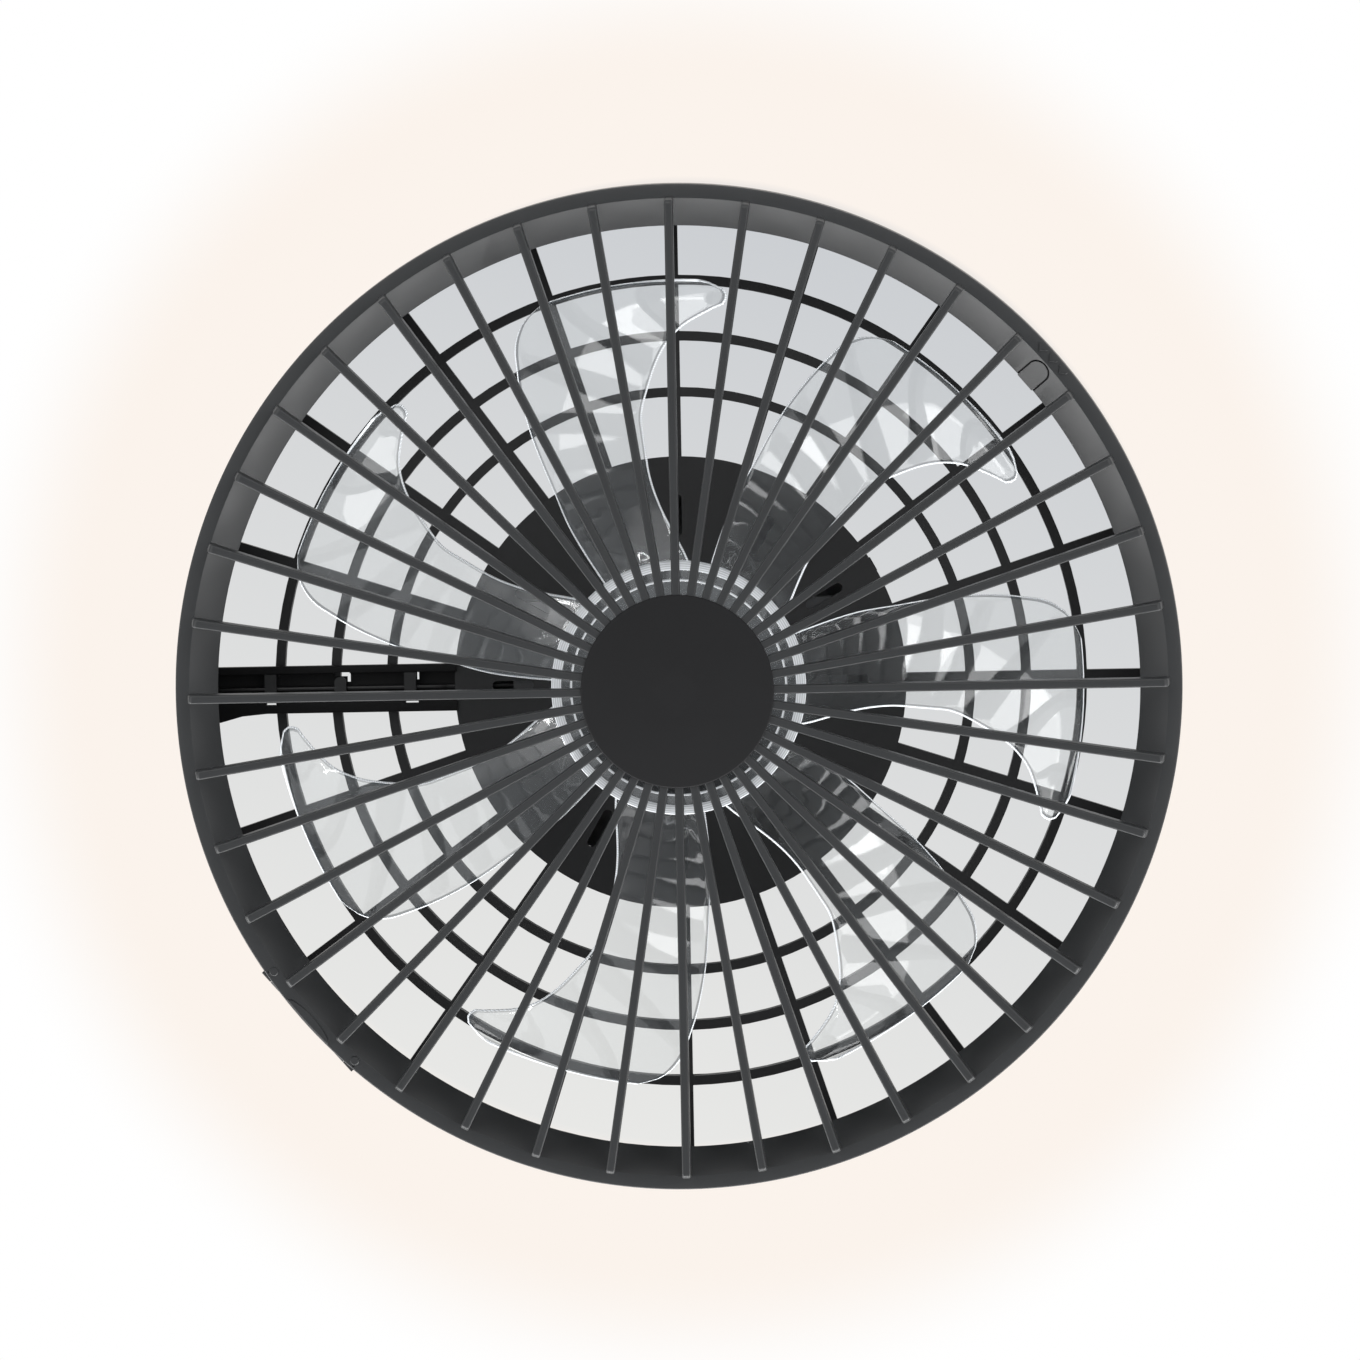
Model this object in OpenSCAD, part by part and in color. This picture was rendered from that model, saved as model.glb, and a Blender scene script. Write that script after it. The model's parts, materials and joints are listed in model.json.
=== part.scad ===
// Caged flush-mount ceiling fan with a light ring that washes the ceiling.
// The ceiling is the plane z = 0 and the fan hangs below it, down to z = -fan_h.
// Angles run anticlockwise seen from above, from +X.

/* [Overall] */
// Outside diameter of the fan
fan_d = 500; // [490:2:520]
// Height from the ceiling to the front of the guard
fan_h = 200; // [195:1:215]
// Height of the drum wall
drum_h = 68; // [64:1:72]
// Running gap between rigid pieces that do not touch
gap = 0.3; // [0.2:0.05:0.5]

/* [Front guard] */
// Number of radial ribs
rib_count = 40; // [36:1:44]
// Angle of the first rib
rib_start = -1.07; // [-4:0.01:4]
// Thickness of a rib
rib_t = 4.2; // [3.6:0.1:5]
// Depth of a rib where it leaves the hub
rib_hub_depth = 9; // [7:0.5:11]
// Depth of a rib where it meets the rim
rib_rim_depth = 19; // [15:0.5:20]
// Radius of the rounded outer end of a rib
rib_end_r = 6; // [4:0.5:8]
// Width of the rim's face
rim_w = 8; // [7:0.5:10]
// Set-back of the rim's inner edge behind the front of the guard
rim_back = 22; // [20:0.5:25]
// How far the rim's face falls back to its outer edge
rim_fall = 10; // [8:0.5:11]
// Height of the rim from its inner edge to the drum
rim_h = 13; // [12:0.5:15]
// Width of the inward lip
lip_w = 12; // [10:0.5:14]
// Height of the inward lip
lip_h = 20; // [17:0.5:22]
// Thickness of the guard's rim and lip
skin_t = 2.2; // [1.8:0.1:2.6]
// Diameter of the guard's centre disc
hub_disc_d = 94.8; // [88:0.2:100]
// Set-back of the ribs behind the centre disc's face
disc_proud = 1.5; // [1:0.1:2]
// Wall of the guard's hub cup
cup_t = 2.9; // [2.4:0.1:3.4]
// Depth of the guard's hub cup behind the ribs' front
cup_h = 12.5; // [11:0.5:14]

/* [Drum and rear grille] */
// Step of the drum inside the guard's rim
drum_step = 1; // [0.5:0.1:2]
// Thickness of the drum wall
drum_t = 3; // [2.5:0.1:3.5]
// Width of the drum's rear flange inside its wall
drum_flange_w = 6.5; // [6:0.1:7.5]
// Thickness of the drum's rear flange
drum_flange_t = 3; // [2.5:0.1:4]
// Depth of the rear grille's bars
grille_depth = 7; // [6:0.5:8]
// Width of the rear grille's rings
ring_w = 4.8; // [4:0.1:6]
// Width of the rear grille's spokes
spoke_w = 5; // [4:0.1:6]
// Radius of the inner grille ring, to the middle of the bar
ring_1_r = 147.4; // [142:0.2:152]
// Distance between grille rings
ring_pitch = 28.4; // [26:0.2:30]
// Number of spokes, counting the one that the cable duct takes
spoke_count = 20; // [18:1:22]
// Outside radius of the motor plate
plate_r = 114.7; // [112:0.1:118]
// Thickness of the motor plate
plate_t = 3; // [2.5:0.1:4]
// Height of the motor plate's edge
plate_h = 6; // [5.5:0.1:7]
// Width of the motor plate's thick edge and of the rings bolted to it
plate_edge_w = 10; // [9:0.5:12]
// Number of vent slots in the motor plate
slot_count = 12; // [10:1:14]
// Length of a vent slot
slot_l = 21; // [16:0.5:23]
// Width of a vent slot
slot_w = 4.6; // [3:0.1:6]
// Radius to the middle of the vent slots
slot_r = 85; // [80:0.5:88]

/* [Cable duct] */
// Width of the duct
duct_w = 20; // [18:0.5:22]
// Thickness of the duct's rails
rail_t = 3; // [2.5:0.1:3.5]
// Height of the duct's rails
rail_h = 8; // [7:0.5:9]
// Thickness of the duct's floor
duct_floor_t = 1.2; // [1:0.1:1.6]
// Radius to the middle of the first duct clip
clip_1_r = 140; // [136:0.5:144]
// Distance between duct clips
clip_pitch = 34.5; // [32:0.5:36]
// Width of a duct clip
clip_w = 6; // [5:0.5:7]
// Thickness of a duct clip
clip_t = 2; // [1.5:0.1:2.5]
// Diameter of the light ring's cable
lead_d = 2.5; // [2:0.1:2.8]

/* [Impeller] */
// Angle of the first blade's tail
blade_start = -31.6; // [-60:0.1:60]
// Radius of the blade tips
tip_r = 203; // [198:0.5:206]
// Thickness of a blade
blade_t = 1.8; // [1.4:0.1:2.4]
// Rise of a blade from trailing to leading edge at the hub
pitch_hub = 31; // [26:0.5:32]
// Rise of a blade from trailing to leading edge at the tip
pitch_tip = 15; // [10:0.5:20]
// Camber of a blade
camber = 4; // [0:0.5:5]
// Outside radius of the impeller's hub
hub_r = 63.4; // [60:0.1:66]
// Height of the impeller's hub
hub_h = 36; // [36:0.5:38]
// Wall of the impeller's hub
hub_t = 2.4; // [2:0.1:3]
// Distance from the guard's front to the hub's front
hub_back = 38; // [36:0.5:40]
// Outside radius of the hub's boss
boss_r = 12; // [10:0.5:14]

/* [Motor] */
// Diameter of the shaft
shaft_d = 8; // [7.9:0.05:8.05]
// Running clearance of the shaft, on the radius
shaft_fit = 0.03; // [0.02:0.01:0.06]
// Outside diameter of a bearing
bearing_d = 22; // [21:0.1:23]
// Width of a bearing
bearing_w = 7; // [6:0.5:8]
// Wall of the motor's bearing tube
tube_t = 3; // [2.5:0.1:3.5]
// Radius of the stator
stator_r = 30; // [29:0.2:31]
// Height of the stator
stator_h = 16; // [14:0.5:18]
// Number of stator teeth
tooth_count = 12; // [9:3:15]
// Air gap between the stator and the magnets
air_gap = 0.8; // [0.6:0.1:1]
// Thickness of the magnets
magnet_t = 2.5; // [2:0.1:3]
// Wall of the rotor can
can_t = 2.2; // [2:0.1:3]
// Height of the rotor can
can_h = 34; // [33.5:0.5:38]
// Height of the motor's bearing tube above its base flange
tube_h = 30; // [28:0.5:30.5]
// Thickness of the motor's base flange
base_t = 3; // [2.5:0.1:4]
// Radius of the motor's base flange
base_r = 40; // [38:0.5:42]
// Radius of the motor screws' circle
motor_screw_r = 32; // [30:0.5:34]

/* [Canopy and ceiling bracket] */
// Wall of the canopy
canopy_t = 2; // [1.6:0.1:2.4]
// Set-back of the canopy behind the motor plate's edge
canopy_step = 1.7; // [1.2:0.1:2.5]
// Thickness of the ceiling bracket
bracket_t = 2; // [1.6:0.1:2.5]
// Circle of the ceiling screws
ceiling_pcd = 90; // [80:1:100]
// Radius of a ceiling screw hole
ceiling_hole_r = 2.75; // [2.5:0.05:3]
// Radius of the supply cable's opening in its grommet
entry_r = 8; // [6:0.5:9]
// Length of a bracket ear
ear_h = 16; // [14:0.5:20]
// Radius of the small screws' shanks
screw_r = 2; // [1.8:0.05:2.1]

/* [Light ring] */
// Height of the diffuser above the drum
diffuser_h = 14; // [12:0.5:16]
// Wall of the diffuser
diffuser_t = 1.5; // [1.2:0.1:1.8]
// Thickness of the aluminium tray
tray_t = 1.2; // [1:0.1:1.5]
// Number of light-emitting chips
chip_count = 60; // [48:1:72]

/* [Hinge and latch] */
// Angle of the hinge
hinge_ang = 138; // [130:0.5:146]
// Distance between the hinge's two pins, centre to centre
hinge_span = 54; // [50:0.5:56]
// Radius of a hinge knuckle
knuckle_r = 3.2; // [2.8:0.1:3.4]
// Radius of a hinge pin
pin_r = 1.5; // [1.2:0.05:1.6]
// Angle of the latch
latch_ang = -41.5; // [-46:0.5:-36]
// Width of the latch tongue
tongue_w = 10.5; // [9:0.1:12]
// Gap round the latch tongue
tongue_gap = 0.7; // [0.5:0.05:0.9]
// Height of the latch arm behind the lip
arm_h = 11; // [9:0.5:12]
// Reach of the latch nose
nose_l = 6; // [5:0.1:7]

/* [Hidden] */
$fn = 96;
blade_count = 7;

black = [0.16, 0.16, 0.165];
steel = [0.7, 0.7, 0.72];
clear = [0.82, 0.86, 0.88, 0.4];
opal = [1, 0.95, 0.86];

// Heights, from the front of the guard up to the ceiling.
fan_r = fan_d / 2;
z_front = -fan_h;
z_ribs = z_front + disc_proud;
z_rim = z_front + rim_back;
z_split = z_rim + rim_h;
z_lip = z_rim + lip_h;
z_flange = z_split + drum_h;
z_flange_top = z_flange + drum_flange_t;
z_grille = z_flange - grille_depth;
z_plate = z_grille - plate_h;
z_floor = z_plate + plate_t;
z_hub = z_front + hub_back;
z_hub_top = z_hub + hub_h;

// Radii.
rim_r = fan_r - rim_w;
lip_r = rim_r - lip_w;
disc_r = hub_disc_d / 2;
drum_r = fan_r - drum_step;
drum_in = drum_r - drum_t;
flange_in = drum_in - drum_flange_w;
seat_r = flange_in + drum_flange_w / 2;
canopy_r = plate_r - canopy_step;
edge_in = plate_r - plate_edge_w;
hub_screw_r = edge_in + (canopy_r - canopy_t - edge_in) / 2;

// Hinge and latch.
hinge_r = drum_in + drum_t / 6;
hinge_z = z_split - 1;
slant = atan2(lip_h, lip_w);
slant_l = norm([lip_w, lip_h]);

// Half length of the notch that lets the rim turn past the drum: where the rim's
// outside circle comes back inside the hinge line.
notch_half = sqrt(fan_r * fan_r - hinge_r * hinge_r) + 1;
notch_depth = 12;

// Shared helpers.
module ring(r_out, r_in, z0, z1) {
  translate([0, 0, z0])
    difference() {
      cylinder(r = r_out, h = z1 - z0);
      translate([0, 0, -1]) cylinder(r = r_in, h = z1 - z0 + 2);
    }
}

module disc(r, z0, z1) {
  translate([0, 0, z0]) cylinder(r = r, h = z1 - z0);
}

module around(count, start = 0) {
  for (i = [0 : count - 1]) rotate([0, 0, start + i * 360 / count]) children();
}

// A screw that stands on z0 with its head above it and its shank down to z1.
module screw_down(z0, z1, head_r, head_h) {
  disc(head_r, z0, z0 + head_h);
  disc(screw_r, z1, z0 + 0.01);
}

// A frame whose x runs outward, y along the rim and z up, on the hinge line.
module at_hinge() {
  rotate([0, 0, hinge_ang]) translate([hinge_r, 0, hinge_z]) children();
}

// The places of the screws: three in the canopy's side, six that clamp canopy, grille and
// motor plate, six round the drum's flange and four in the motor's base.
module at_ears() { around(3, 90) children(); }
module at_hub_screws() { around(6, 15) translate([hub_screw_r, 0, 0]) children(); }
module at_seat_screws() { around(6, 27) translate([seat_r, 0, 0]) children(); }
module at_motor_screws() { around(4, 45) translate([motor_screw_r, 0, 0]) children(); }

// Where the light ring's cable passes up through the drum's flange.
module at_lead_hole() { rotate([0, 0, duct_ang]) translate([seat_r, 0, 0]) children(); }

module along_y(r, y0, y1) {
  translate([0, y0, 0]) rotate([-90, 0, 0]) cylinder(r = r, h = y1 - y0);
}

// Ceiling bracket: a plate with three ears turned down, for the canopy's screws.
ear_w = 18;
ear_reach = 6;
grommet_wall = 5;
ear_out = canopy_r - canopy_t - 0.5;
ear_in = ear_out - bracket_t;
bracket_r = canopy_r - canopy_t - ear_reach;
grommet_r = entry_r + grommet_wall;
screw_z = -ear_h * 0.6;

module ceiling_bracket() {
  color(steel) difference() {
    union() {
      disc(bracket_r, -bracket_t, 0);
      at_ears() {
        translate([bracket_r - 4, -ear_w / 2, -bracket_t])
          cube([ear_out - bracket_r + 4, ear_w, bracket_t]);
        translate([ear_in, -ear_w / 2, -ear_h]) cube([bracket_t, ear_w, ear_h]);
      }
    }
    disc(grommet_r, -bracket_t - 1, 1);
    around(4, 45) translate([ceiling_pcd / 2, 0, 0]) disc(ceiling_hole_r, -bracket_t - 1, 1);
    at_ears() translate([ear_in - 1, 0, screw_z])
      rotate([0, 90, 0]) cylinder(r = screw_r + 0.1, h = bracket_t + 2);
  }
}

module cable_grommet() {
  color([0.1, 0.1, 0.1]) difference() {
    union() {
      disc(grommet_r - 0.02, -bracket_t - 0.01, 0);
      disc(grommet_r + 2.5, -bracket_t - 3, -bracket_t);
    }
    disc(entry_r, -bracket_t - 4, 1);
  }
}

// Terminal block for the supply, beside the grommet.
block_l = 46;
block_w = 18;
block_h = 16;
block_y = grommet_r + 9;
terminal_pitch = 8;
terminal_r = 2.2;
terminal_depth = 4;

module terminal_block() {
  color([0.92, 0.92, 0.88]) difference() {
    translate([-block_l / 2, block_y, -bracket_t - block_h]) cube([block_l, block_w, block_h]);
    for (k = [-2 : 2])
      translate([k * terminal_pitch, block_y + block_w / 2, -bracket_t - block_h - 1])
        cylinder(r = terminal_r, h = terminal_depth + 1);
  }
}

// Canopy: a straight cup that hides the electronics, open at the ceiling.
canopy_seat_t = 2.5;
screw_head_r = 4;
hub_head_r = (canopy_r - canopy_t - edge_in) / 2 - gap;

module canopy() {
  color(black) difference() {
    union() {
      ring(canopy_r, canopy_r - canopy_t, z_flange, 0);
      ring(canopy_r - canopy_t / 2, edge_in, z_flange, z_flange + canopy_seat_t);
    }
    at_hub_screws() disc(screw_r + 0.1, z_flange - 1, z_flange + canopy_seat_t + 1);
    at_ears() translate([canopy_r - canopy_t - 2, 0, screw_z])
      rotate([0, 90, 0]) cylinder(r = screw_r + 0.15, h = canopy_t + 4);
  }
}

module canopy_screws() {
  color([0.15, 0.15, 0.15]) at_ears() {
    translate([canopy_r + gap, 0, screw_z]) rotate([0, 90, 0]) cylinder(r = screw_head_r, h = 2.2);
    translate([ear_in - 1.5, 0, screw_z])
      rotate([0, 90, 0]) cylinder(r = screw_r, h = canopy_r + gap - ear_in + 1.51);
  }
}

module hub_screws() {
  color(steel) at_hub_screws() screw_down(z_flange + canopy_seat_t, z_plate + 1.5, hub_head_r, 2);
}

// Motor plate: the round plate in the middle of the rear grille, with vent slots.
module slot(l, w, h) {
  linear_extrude(h) {
    square([l - w, w], center = true);
    for (s = [-1, 1]) translate([s * (l - w) / 2, 0]) circle(d = w);
  }
}

lead_z = z_floor + lead_d / 2 + 0.15;
lead_hole_r = lead_d / 2 + 0.4;
duct_ang = 180 + rib_start;
collar_in = bearing_d / 2 + 1.5;
collar_out = collar_in + 4.5;

module motor_plate() {
  color(black) difference() {
    union() {
      disc(plate_r, z_plate, z_floor);
      ring(plate_r, edge_in, z_floor - 0.5, z_grille);
      ring(collar_out, collar_in, z_plate - 3, z_plate + 0.5);
    }
    disc(collar_in, z_plate - 4, z_floor + 1);
    around(slot_count, rib_start) translate([slot_r, 0, z_plate - 1])
      slot(slot_l, slot_w, plate_t + 2);
    at_motor_screws() disc(screw_r + 0.2, z_plate - 1, z_floor + 1);
    at_hub_screws() disc(screw_r + 0.1, z_plate + 1.2, z_grille + 1);
    rotate([0, 0, duct_ang])
      translate([edge_in - 1, -lead_d, z_floor])
        cube([plate_edge_w + 2, lead_d * 2, z_grille - z_floor + 1]);
  }
}

// Rear grille: three rings and the spokes between the motor plate and the drum.
grille_out = drum_in - gap;

module rear_grille() {
  color(black) difference() {
    union() {
      ring(canopy_r, edge_in, z_grille, z_flange);
      ring(grille_out, flange_in, z_grille, z_flange);
      for (i = [0 : 2])
        ring(ring_1_r + i * ring_pitch + ring_w / 2, ring_1_r + i * ring_pitch - ring_w / 2,
             z_grille, z_flange);
      for (i = [0 : spoke_count - 1])
        if (i != floor(spoke_count / 2))
          rotate([0, 0, rib_start + i * 360 / spoke_count])
            translate([canopy_r - 2, -spoke_w / 2, z_grille])
              cube([flange_in - canopy_r + 4, spoke_w, grille_depth]);
    }
    at_hub_screws() disc(screw_r + 0.1, z_grille - 1, z_flange + 1);
    at_seat_screws() disc(screw_r + 0.1, z_grille - 1, z_flange + 1);
    at_lead_hole() {
      disc(lead_hole_r, z_grille - 1, z_flange + 1);
      translate([flange_in - seat_r - 1, -lead_hole_r, z_grille - 1])
        cube([seat_r - flange_in + 1, 2 * lead_hole_r, grille_depth + 2]);
    }
  }
}

module grille_screws() {
  color(steel) at_seat_screws() mirror([0, 0, 1])
    screw_down(-z_grille, -z_flange_top + 0.5, 2.9, 2);
}

// Drum: the fan's outer wall, with a rear flange for the grille and the light ring.
// Near the hinge its edge has two ears and room for the guard's knuckles.
knuckle_l = 6;
pin_l = 12.5;
pin_near = (hinge_span - pin_l) / 2;
pin_far = pin_near + pin_l;
knuckle_far = pin_near + knuckle_l;
ear_near = knuckle_far + gap;
pin_hole_r = pin_r + 0.05;

module housing_drum() {
  color(black) difference() {
    union() {
      rotate_extrude() polygon([
        [drum_in, z_split], [drum_r, z_split], [drum_r, z_flange_top],
        [flange_in, z_flange_top], [flange_in, z_flange], [drum_in, z_flange]
      ]);
      at_hinge() for (s = [0, 1]) mirror([0, s, 0]) {
        along_y(knuckle_r, ear_near, pin_far);
        translate([-drum_t + 0.2, ear_near, 0]) cube([drum_t, pin_far - ear_near, knuckle_r + 3]);
      }
    }
    at_hinge() {
      along_y(knuckle_r + 2 * gap, -ear_near, ear_near);
      along_y(pin_hole_r, -pin_far - 1, pin_far + 1);
    }
    at_seat_screws() disc(screw_r + 0.1, z_flange - 1, z_flange_top + 1);
    at_lead_hole() disc(lead_hole_r, z_flange - 1, z_flange_top + 1);
  }
}

// Light ring on the drum's ceiling side.
tray_out = drum_r - diffuser_t - 0.6;
tray_in = flange_in + diffuser_t + 0.6;
z_tray = z_flange_top + tray_t;
strip_t = 0.4;

module led_tray() {
  color([0.8, 0.8, 0.82]) difference() {
    union() {
      ring(tray_out, tray_in, z_flange_top, z_tray);
      ring(tray_in + 1, tray_in, z_flange_top, z_tray + 3);
    }
    at_lead_hole() disc(lead_hole_r, z_flange_top - 1, z_tray + 4);
  }
}

strip_w = 3.2;
strip_mid = tray_out - strip_w / 2 - 0.3;

module led_strip() {
  color([0.95, 0.93, 0.85])
    ring(strip_mid + strip_w / 2, strip_mid - strip_w / 2, z_tray, z_tray + strip_t);
}

module led_chips() {
  color([1, 0.85, 0.5]) around(chip_count, 3)
    translate([strip_mid - 1.1, -1.75, z_tray + strip_t]) cube([2.2, 3.5, 0.7]);
}

module diffuser_ring() {
  color(opal) rotate_extrude() polygon([
    [drum_r - 0.4, z_flange_top], [drum_r - 0.4, z_flange_top + diffuser_h - 2],
    [drum_r - 2.4, z_flange_top + diffuser_h], [flange_in + 1, z_flange_top + diffuser_h],
    [flange_in, z_flange_top + diffuser_h - 1], [flange_in, z_flange_top],
    [flange_in + diffuser_t, z_flange_top],
    [flange_in + diffuser_t, z_flange_top + diffuser_h - diffuser_t - 0.6],
    [drum_r - 2.9, z_flange_top + diffuser_h - diffuser_t],
    [drum_r - 0.4 - diffuser_t, z_flange_top + diffuser_h - diffuser_t - 1],
    [drum_r - 0.4 - diffuser_t, z_flange_top]
  ]);
}

// Cable duct: an open channel under the grille, in place of one spoke.
duct_in = plate_r + gap;
duct_out = drum_in - gap;
z_duct = z_grille - rail_h;
floor_in = duct_in + 10;
floor_out = flange_in - 4;
clip_r = [for (i = [0 : 2]) clip_1_r + i * clip_pitch];
foot_l = 13;
foot_w = 7;

module cable_duct() {
  color(black) rotate([0, 0, duct_ang]) difference() {
    intersection() {
      union() {
        for (s = [-1, 1])
          translate([duct_in - 3, s * (duct_w - rail_t) / 2 - rail_t / 2, z_duct])
            cube([duct_out - duct_in + 4, rail_t, rail_h]);
        translate([floor_in, -duct_w / 2, z_grille - duct_floor_t])
          cube([floor_out - floor_in, duct_w, duct_floor_t]);
        translate([0, 0, z_duct]) linear_extrude(rail_h) polygon([
          [duct_out - foot_l, -duct_w / 2 + 0.5], [duct_out + 2, -duct_w / 2 + 0.5],
          [duct_out + 2, -duct_w / 2 - foot_w], [duct_out - foot_l / 2, -duct_w / 2 - foot_w / 3]
        ]);
      }
      ring(duct_out, duct_in, z_duct - 1, z_grille + 1, $fn = 360);
    }
    for (r = clip_r)
      translate([r + 1, -duct_w / 2 + rail_t, z_grille - duct_floor_t - 1])
        cube([clip_w + 2, duct_w - 2 * rail_t, duct_floor_t + 2]);
  }
}

module duct_clips() {
  color(black) rotate([0, 0, duct_ang]) for (r = clip_r)
    translate([r - clip_w / 2, -duct_w / 2 + rail_t + 0.1, z_duct])
      cube([clip_w, duct_w - 2 * rail_t - 0.2, clip_t]);
}

// The light ring's cable: out of the driver box, through the motor plate's edge, along
// the duct and up through the grille and the flange. The points are [radius, height].
driver_w = 34;
driver_l = 84;
driver_h = 24;
box_r = 51;
lead_sides = 10;
lead_low = z_grille - duct_floor_t - lead_d / 2 - 0.6;
lead_top = z_tray;
lead_path = [
  [box_r + driver_w, lead_z], [96, lead_z], [108, lead_z], [116, lead_z],
  [119, lead_z - 0.3], [122, lead_low + 0.3], [125, lead_low], [140, lead_low], [165, lead_low],
  [190, lead_low], [215, lead_low], [seat_r - 9, lead_low], [seat_r - 5, lead_low + 0.6],
  [seat_r - 2, lead_low + 2.4], [seat_r - 0.5, lead_low + 5], [seat_r, lead_low + 8],
  [seat_r, z_flange], [seat_r, lead_top]
];

function lead_dir(i) =
  let (a = lead_path[max(i - 1, 0)], b = lead_path[min(i + 1, len(lead_path) - 1)])
  (b - a) / norm(b - a);

function lead_ring(i) = [
  for (k = [0 : lead_sides - 1])
    let (a = k * 360 / lead_sides, d = lead_dir(i), p = lead_path[i], q = lead_d / 2)
    [p[0] - d[1] * q * cos(a), q * sin(a), p[1] + d[0] * q * cos(a)]
];

module led_cable() {
  n = len(lead_path);
  m = lead_sides;
  points = [for (i = [0 : n - 1]) each lead_ring(i)];
  faces = concat(
    [[for (k = [0 : m - 1]) k]],
    [for (i = [0 : n - 2]) for (k = [0 : m - 1])
      let (a = i * m + k, b = i * m + (k + 1) % m) [a, a + m, b + m, b]],
    [[for (k = [m - 1 : -1 : 0]) (n - 1) * m + k]]
  );
  color([0.12, 0.12, 0.12]) rotate([0, 0, duct_ang]) polyhedron(points, faces, convexity = 4);
}

// Electronics on the motor plate's inner floor.
module box_on_floor(ang, l, w, h) {
  rotate([0, 0, ang]) difference() {
    translate([box_r, -l / 2, z_floor]) cube([w, l, h]);
    for (s = [-1, 1])
      translate([box_r + w / 2, s * (l / 2 - 5), z_floor + h - 4]) cylinder(r = 2, h = 5);
  }
}

module led_driver() {
  color([0.2, 0.2, 0.2]) box_on_floor(duct_ang, driver_l, driver_w, driver_h);
}

module remote_receiver() {
  color([0.2, 0.2, 0.2]) box_on_floor(duct_ang + 180, driver_l, driver_w, driver_h - 4);
}

// Motor: an outer-rotor motor on the motor plate, with its shaft down through it.
tube_r = bearing_d / 2 + tube_t;
z_tube_top = z_floor + base_t + tube_h;
z_stator = z_floor + base_t + 7;

module motor_base() {
  color(steel) difference() {
    union() {
      disc(base_r, z_floor, z_floor + base_t);
      disc(tube_r, z_floor, z_tube_top);
    }
    disc(bearing_d / 2 + 0.02, z_floor - 1, z_tube_top + 1);
    at_motor_screws() disc(screw_r + 0.1, z_floor - 1, z_floor + base_t + 1);
  }
}

damper_t = 1.2;

module motor_dampers() {
  color([0.08, 0.08, 0.08]) at_motor_screws()
    ring(5, screw_r + 0.2, z_plate - damper_t, z_plate);
}

module motor_screws() {
  color(steel) at_motor_screws() mirror([0, 0, 1])
    screw_down(-z_plate + damper_t, -z_floor - base_t + 0.5, screw_head_r, 2.2);
}

tooth_w = 5;
core_r = tube_r + 3.5;
shoe_t = 2.5;

module motor_stator() {
  color([0.5, 0.5, 0.52]) translate([0, 0, z_stator]) difference() {
    union() {
      cylinder(r = core_r, h = stator_h);
      around(tooth_count)
        translate([core_r - 1, -tooth_w / 2, 0])
          cube([stator_r - core_r - 0.5, tooth_w, stator_h]);
      difference() {
        cylinder(r = stator_r, h = stator_h);
        translate([0, 0, -1]) cylinder(r = stator_r - shoe_t, h = stator_h + 2);
        around(tooth_count, 180 / tooth_count)
          translate([core_r, -1.5, -1]) cube([stator_r, 3, stator_h + 2]);
      }
    }
    translate([0, 0, -1]) cylinder(r = tube_r + 0.02, h = stator_h + 2);
  }
}

coil_t = 0.9;

module motor_windings() {
  color([0.72, 0.4, 0.2]) translate([0, 0, z_stator]) around(tooth_count)
    translate([core_r + 0.4, -tooth_w / 2 - coil_t, -1.5]) difference() {
      cube([stator_r - shoe_t - core_r - 0.8, tooth_w + 2 * coil_t, stator_h + 3]);
      translate([-1, coil_t - 0.05, 1.45])
        cube([stator_r, tooth_w + 0.1, stator_h + 0.1]);
    }
}

module bearing(z) {
  color([0.78, 0.78, 0.8]) ring(bearing_d / 2, shaft_d / 2 + shaft_fit, z, z + bearing_w);
}

z_bearing_low = z_floor + 0.5;
z_bearing_top = z_tube_top - bearing_w - 0.5;
magnet_r = stator_r + air_gap;
can_in = magnet_r + magnet_t;
z_can = z_floor + base_t + 1;
z_can_top = z_can + can_h;
vent_r = 4;

module rotor_can() {
  color(steel) difference() {
    disc(can_in + can_t, z_can, z_can_top);
    disc(can_in, z_can - 1, z_can_top - can_t);
    disc(shaft_d / 2 + 0.02, z_can, z_can_top + 1);
    around(6) translate([can_in * 0.62, 0, 0]) disc(vent_r, z_can_top - can_t - 1, z_can_top + 1);
  }
}

module rotor_magnets() {
  color([0.3, 0.3, 0.32])
    ring(can_in - 0.02, magnet_r, z_stator - 1, z_stator + stator_h + 1);
}

z_nut = z_hub + 10;
z_shaft_low = z_nut - 11;
z_boss = z_nut + 1;

module motor_shaft() {
  color([0.82, 0.82, 0.84]) difference() {
    disc(shaft_d / 2, z_shaft_low, z_can_top + 3);
    translate([shaft_d / 2 - 0.8, -5, z_shaft_low - 1]) cube([4, 10, z_can - z_shaft_low - 8]);
  }
}

// Impeller hub: a clear cup with stepped rings on its face and a boss on the shaft.
face_in = hub_r - 12;
step_h = 1.2;
dish_w = 14;
dish_h = 6;

module impeller_hub() {
  color(clear) rotate_extrude() polygon([
    [shaft_d / 2 + 0.02, z_boss], [boss_r, z_boss], [boss_r, z_boss + 3],
    [face_in - dish_w, z_hub + dish_h], [face_in, z_hub + step_h], [face_in + 4, z_hub + step_h],
    [face_in + 4, z_hub], [hub_r - 4, z_hub], [hub_r - 3, z_hub + step_h],
    [hub_r - 1, z_hub + step_h], [hub_r, z_hub + step_h + 1],
    [hub_r, z_hub_top], [hub_r - hub_t, z_hub_top], [hub_r - hub_t, z_hub + step_h + hub_t + 1],
    [face_in + 1, z_hub + step_h + hub_t], [face_in - dish_w + 1, z_hub + dish_h + hub_t],
    [boss_r, z_boss + 3 + hub_t], [boss_r, z_hub_top - 8], [shaft_d / 2 + 0.02, z_hub_top - 8]
  ]);
}

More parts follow.
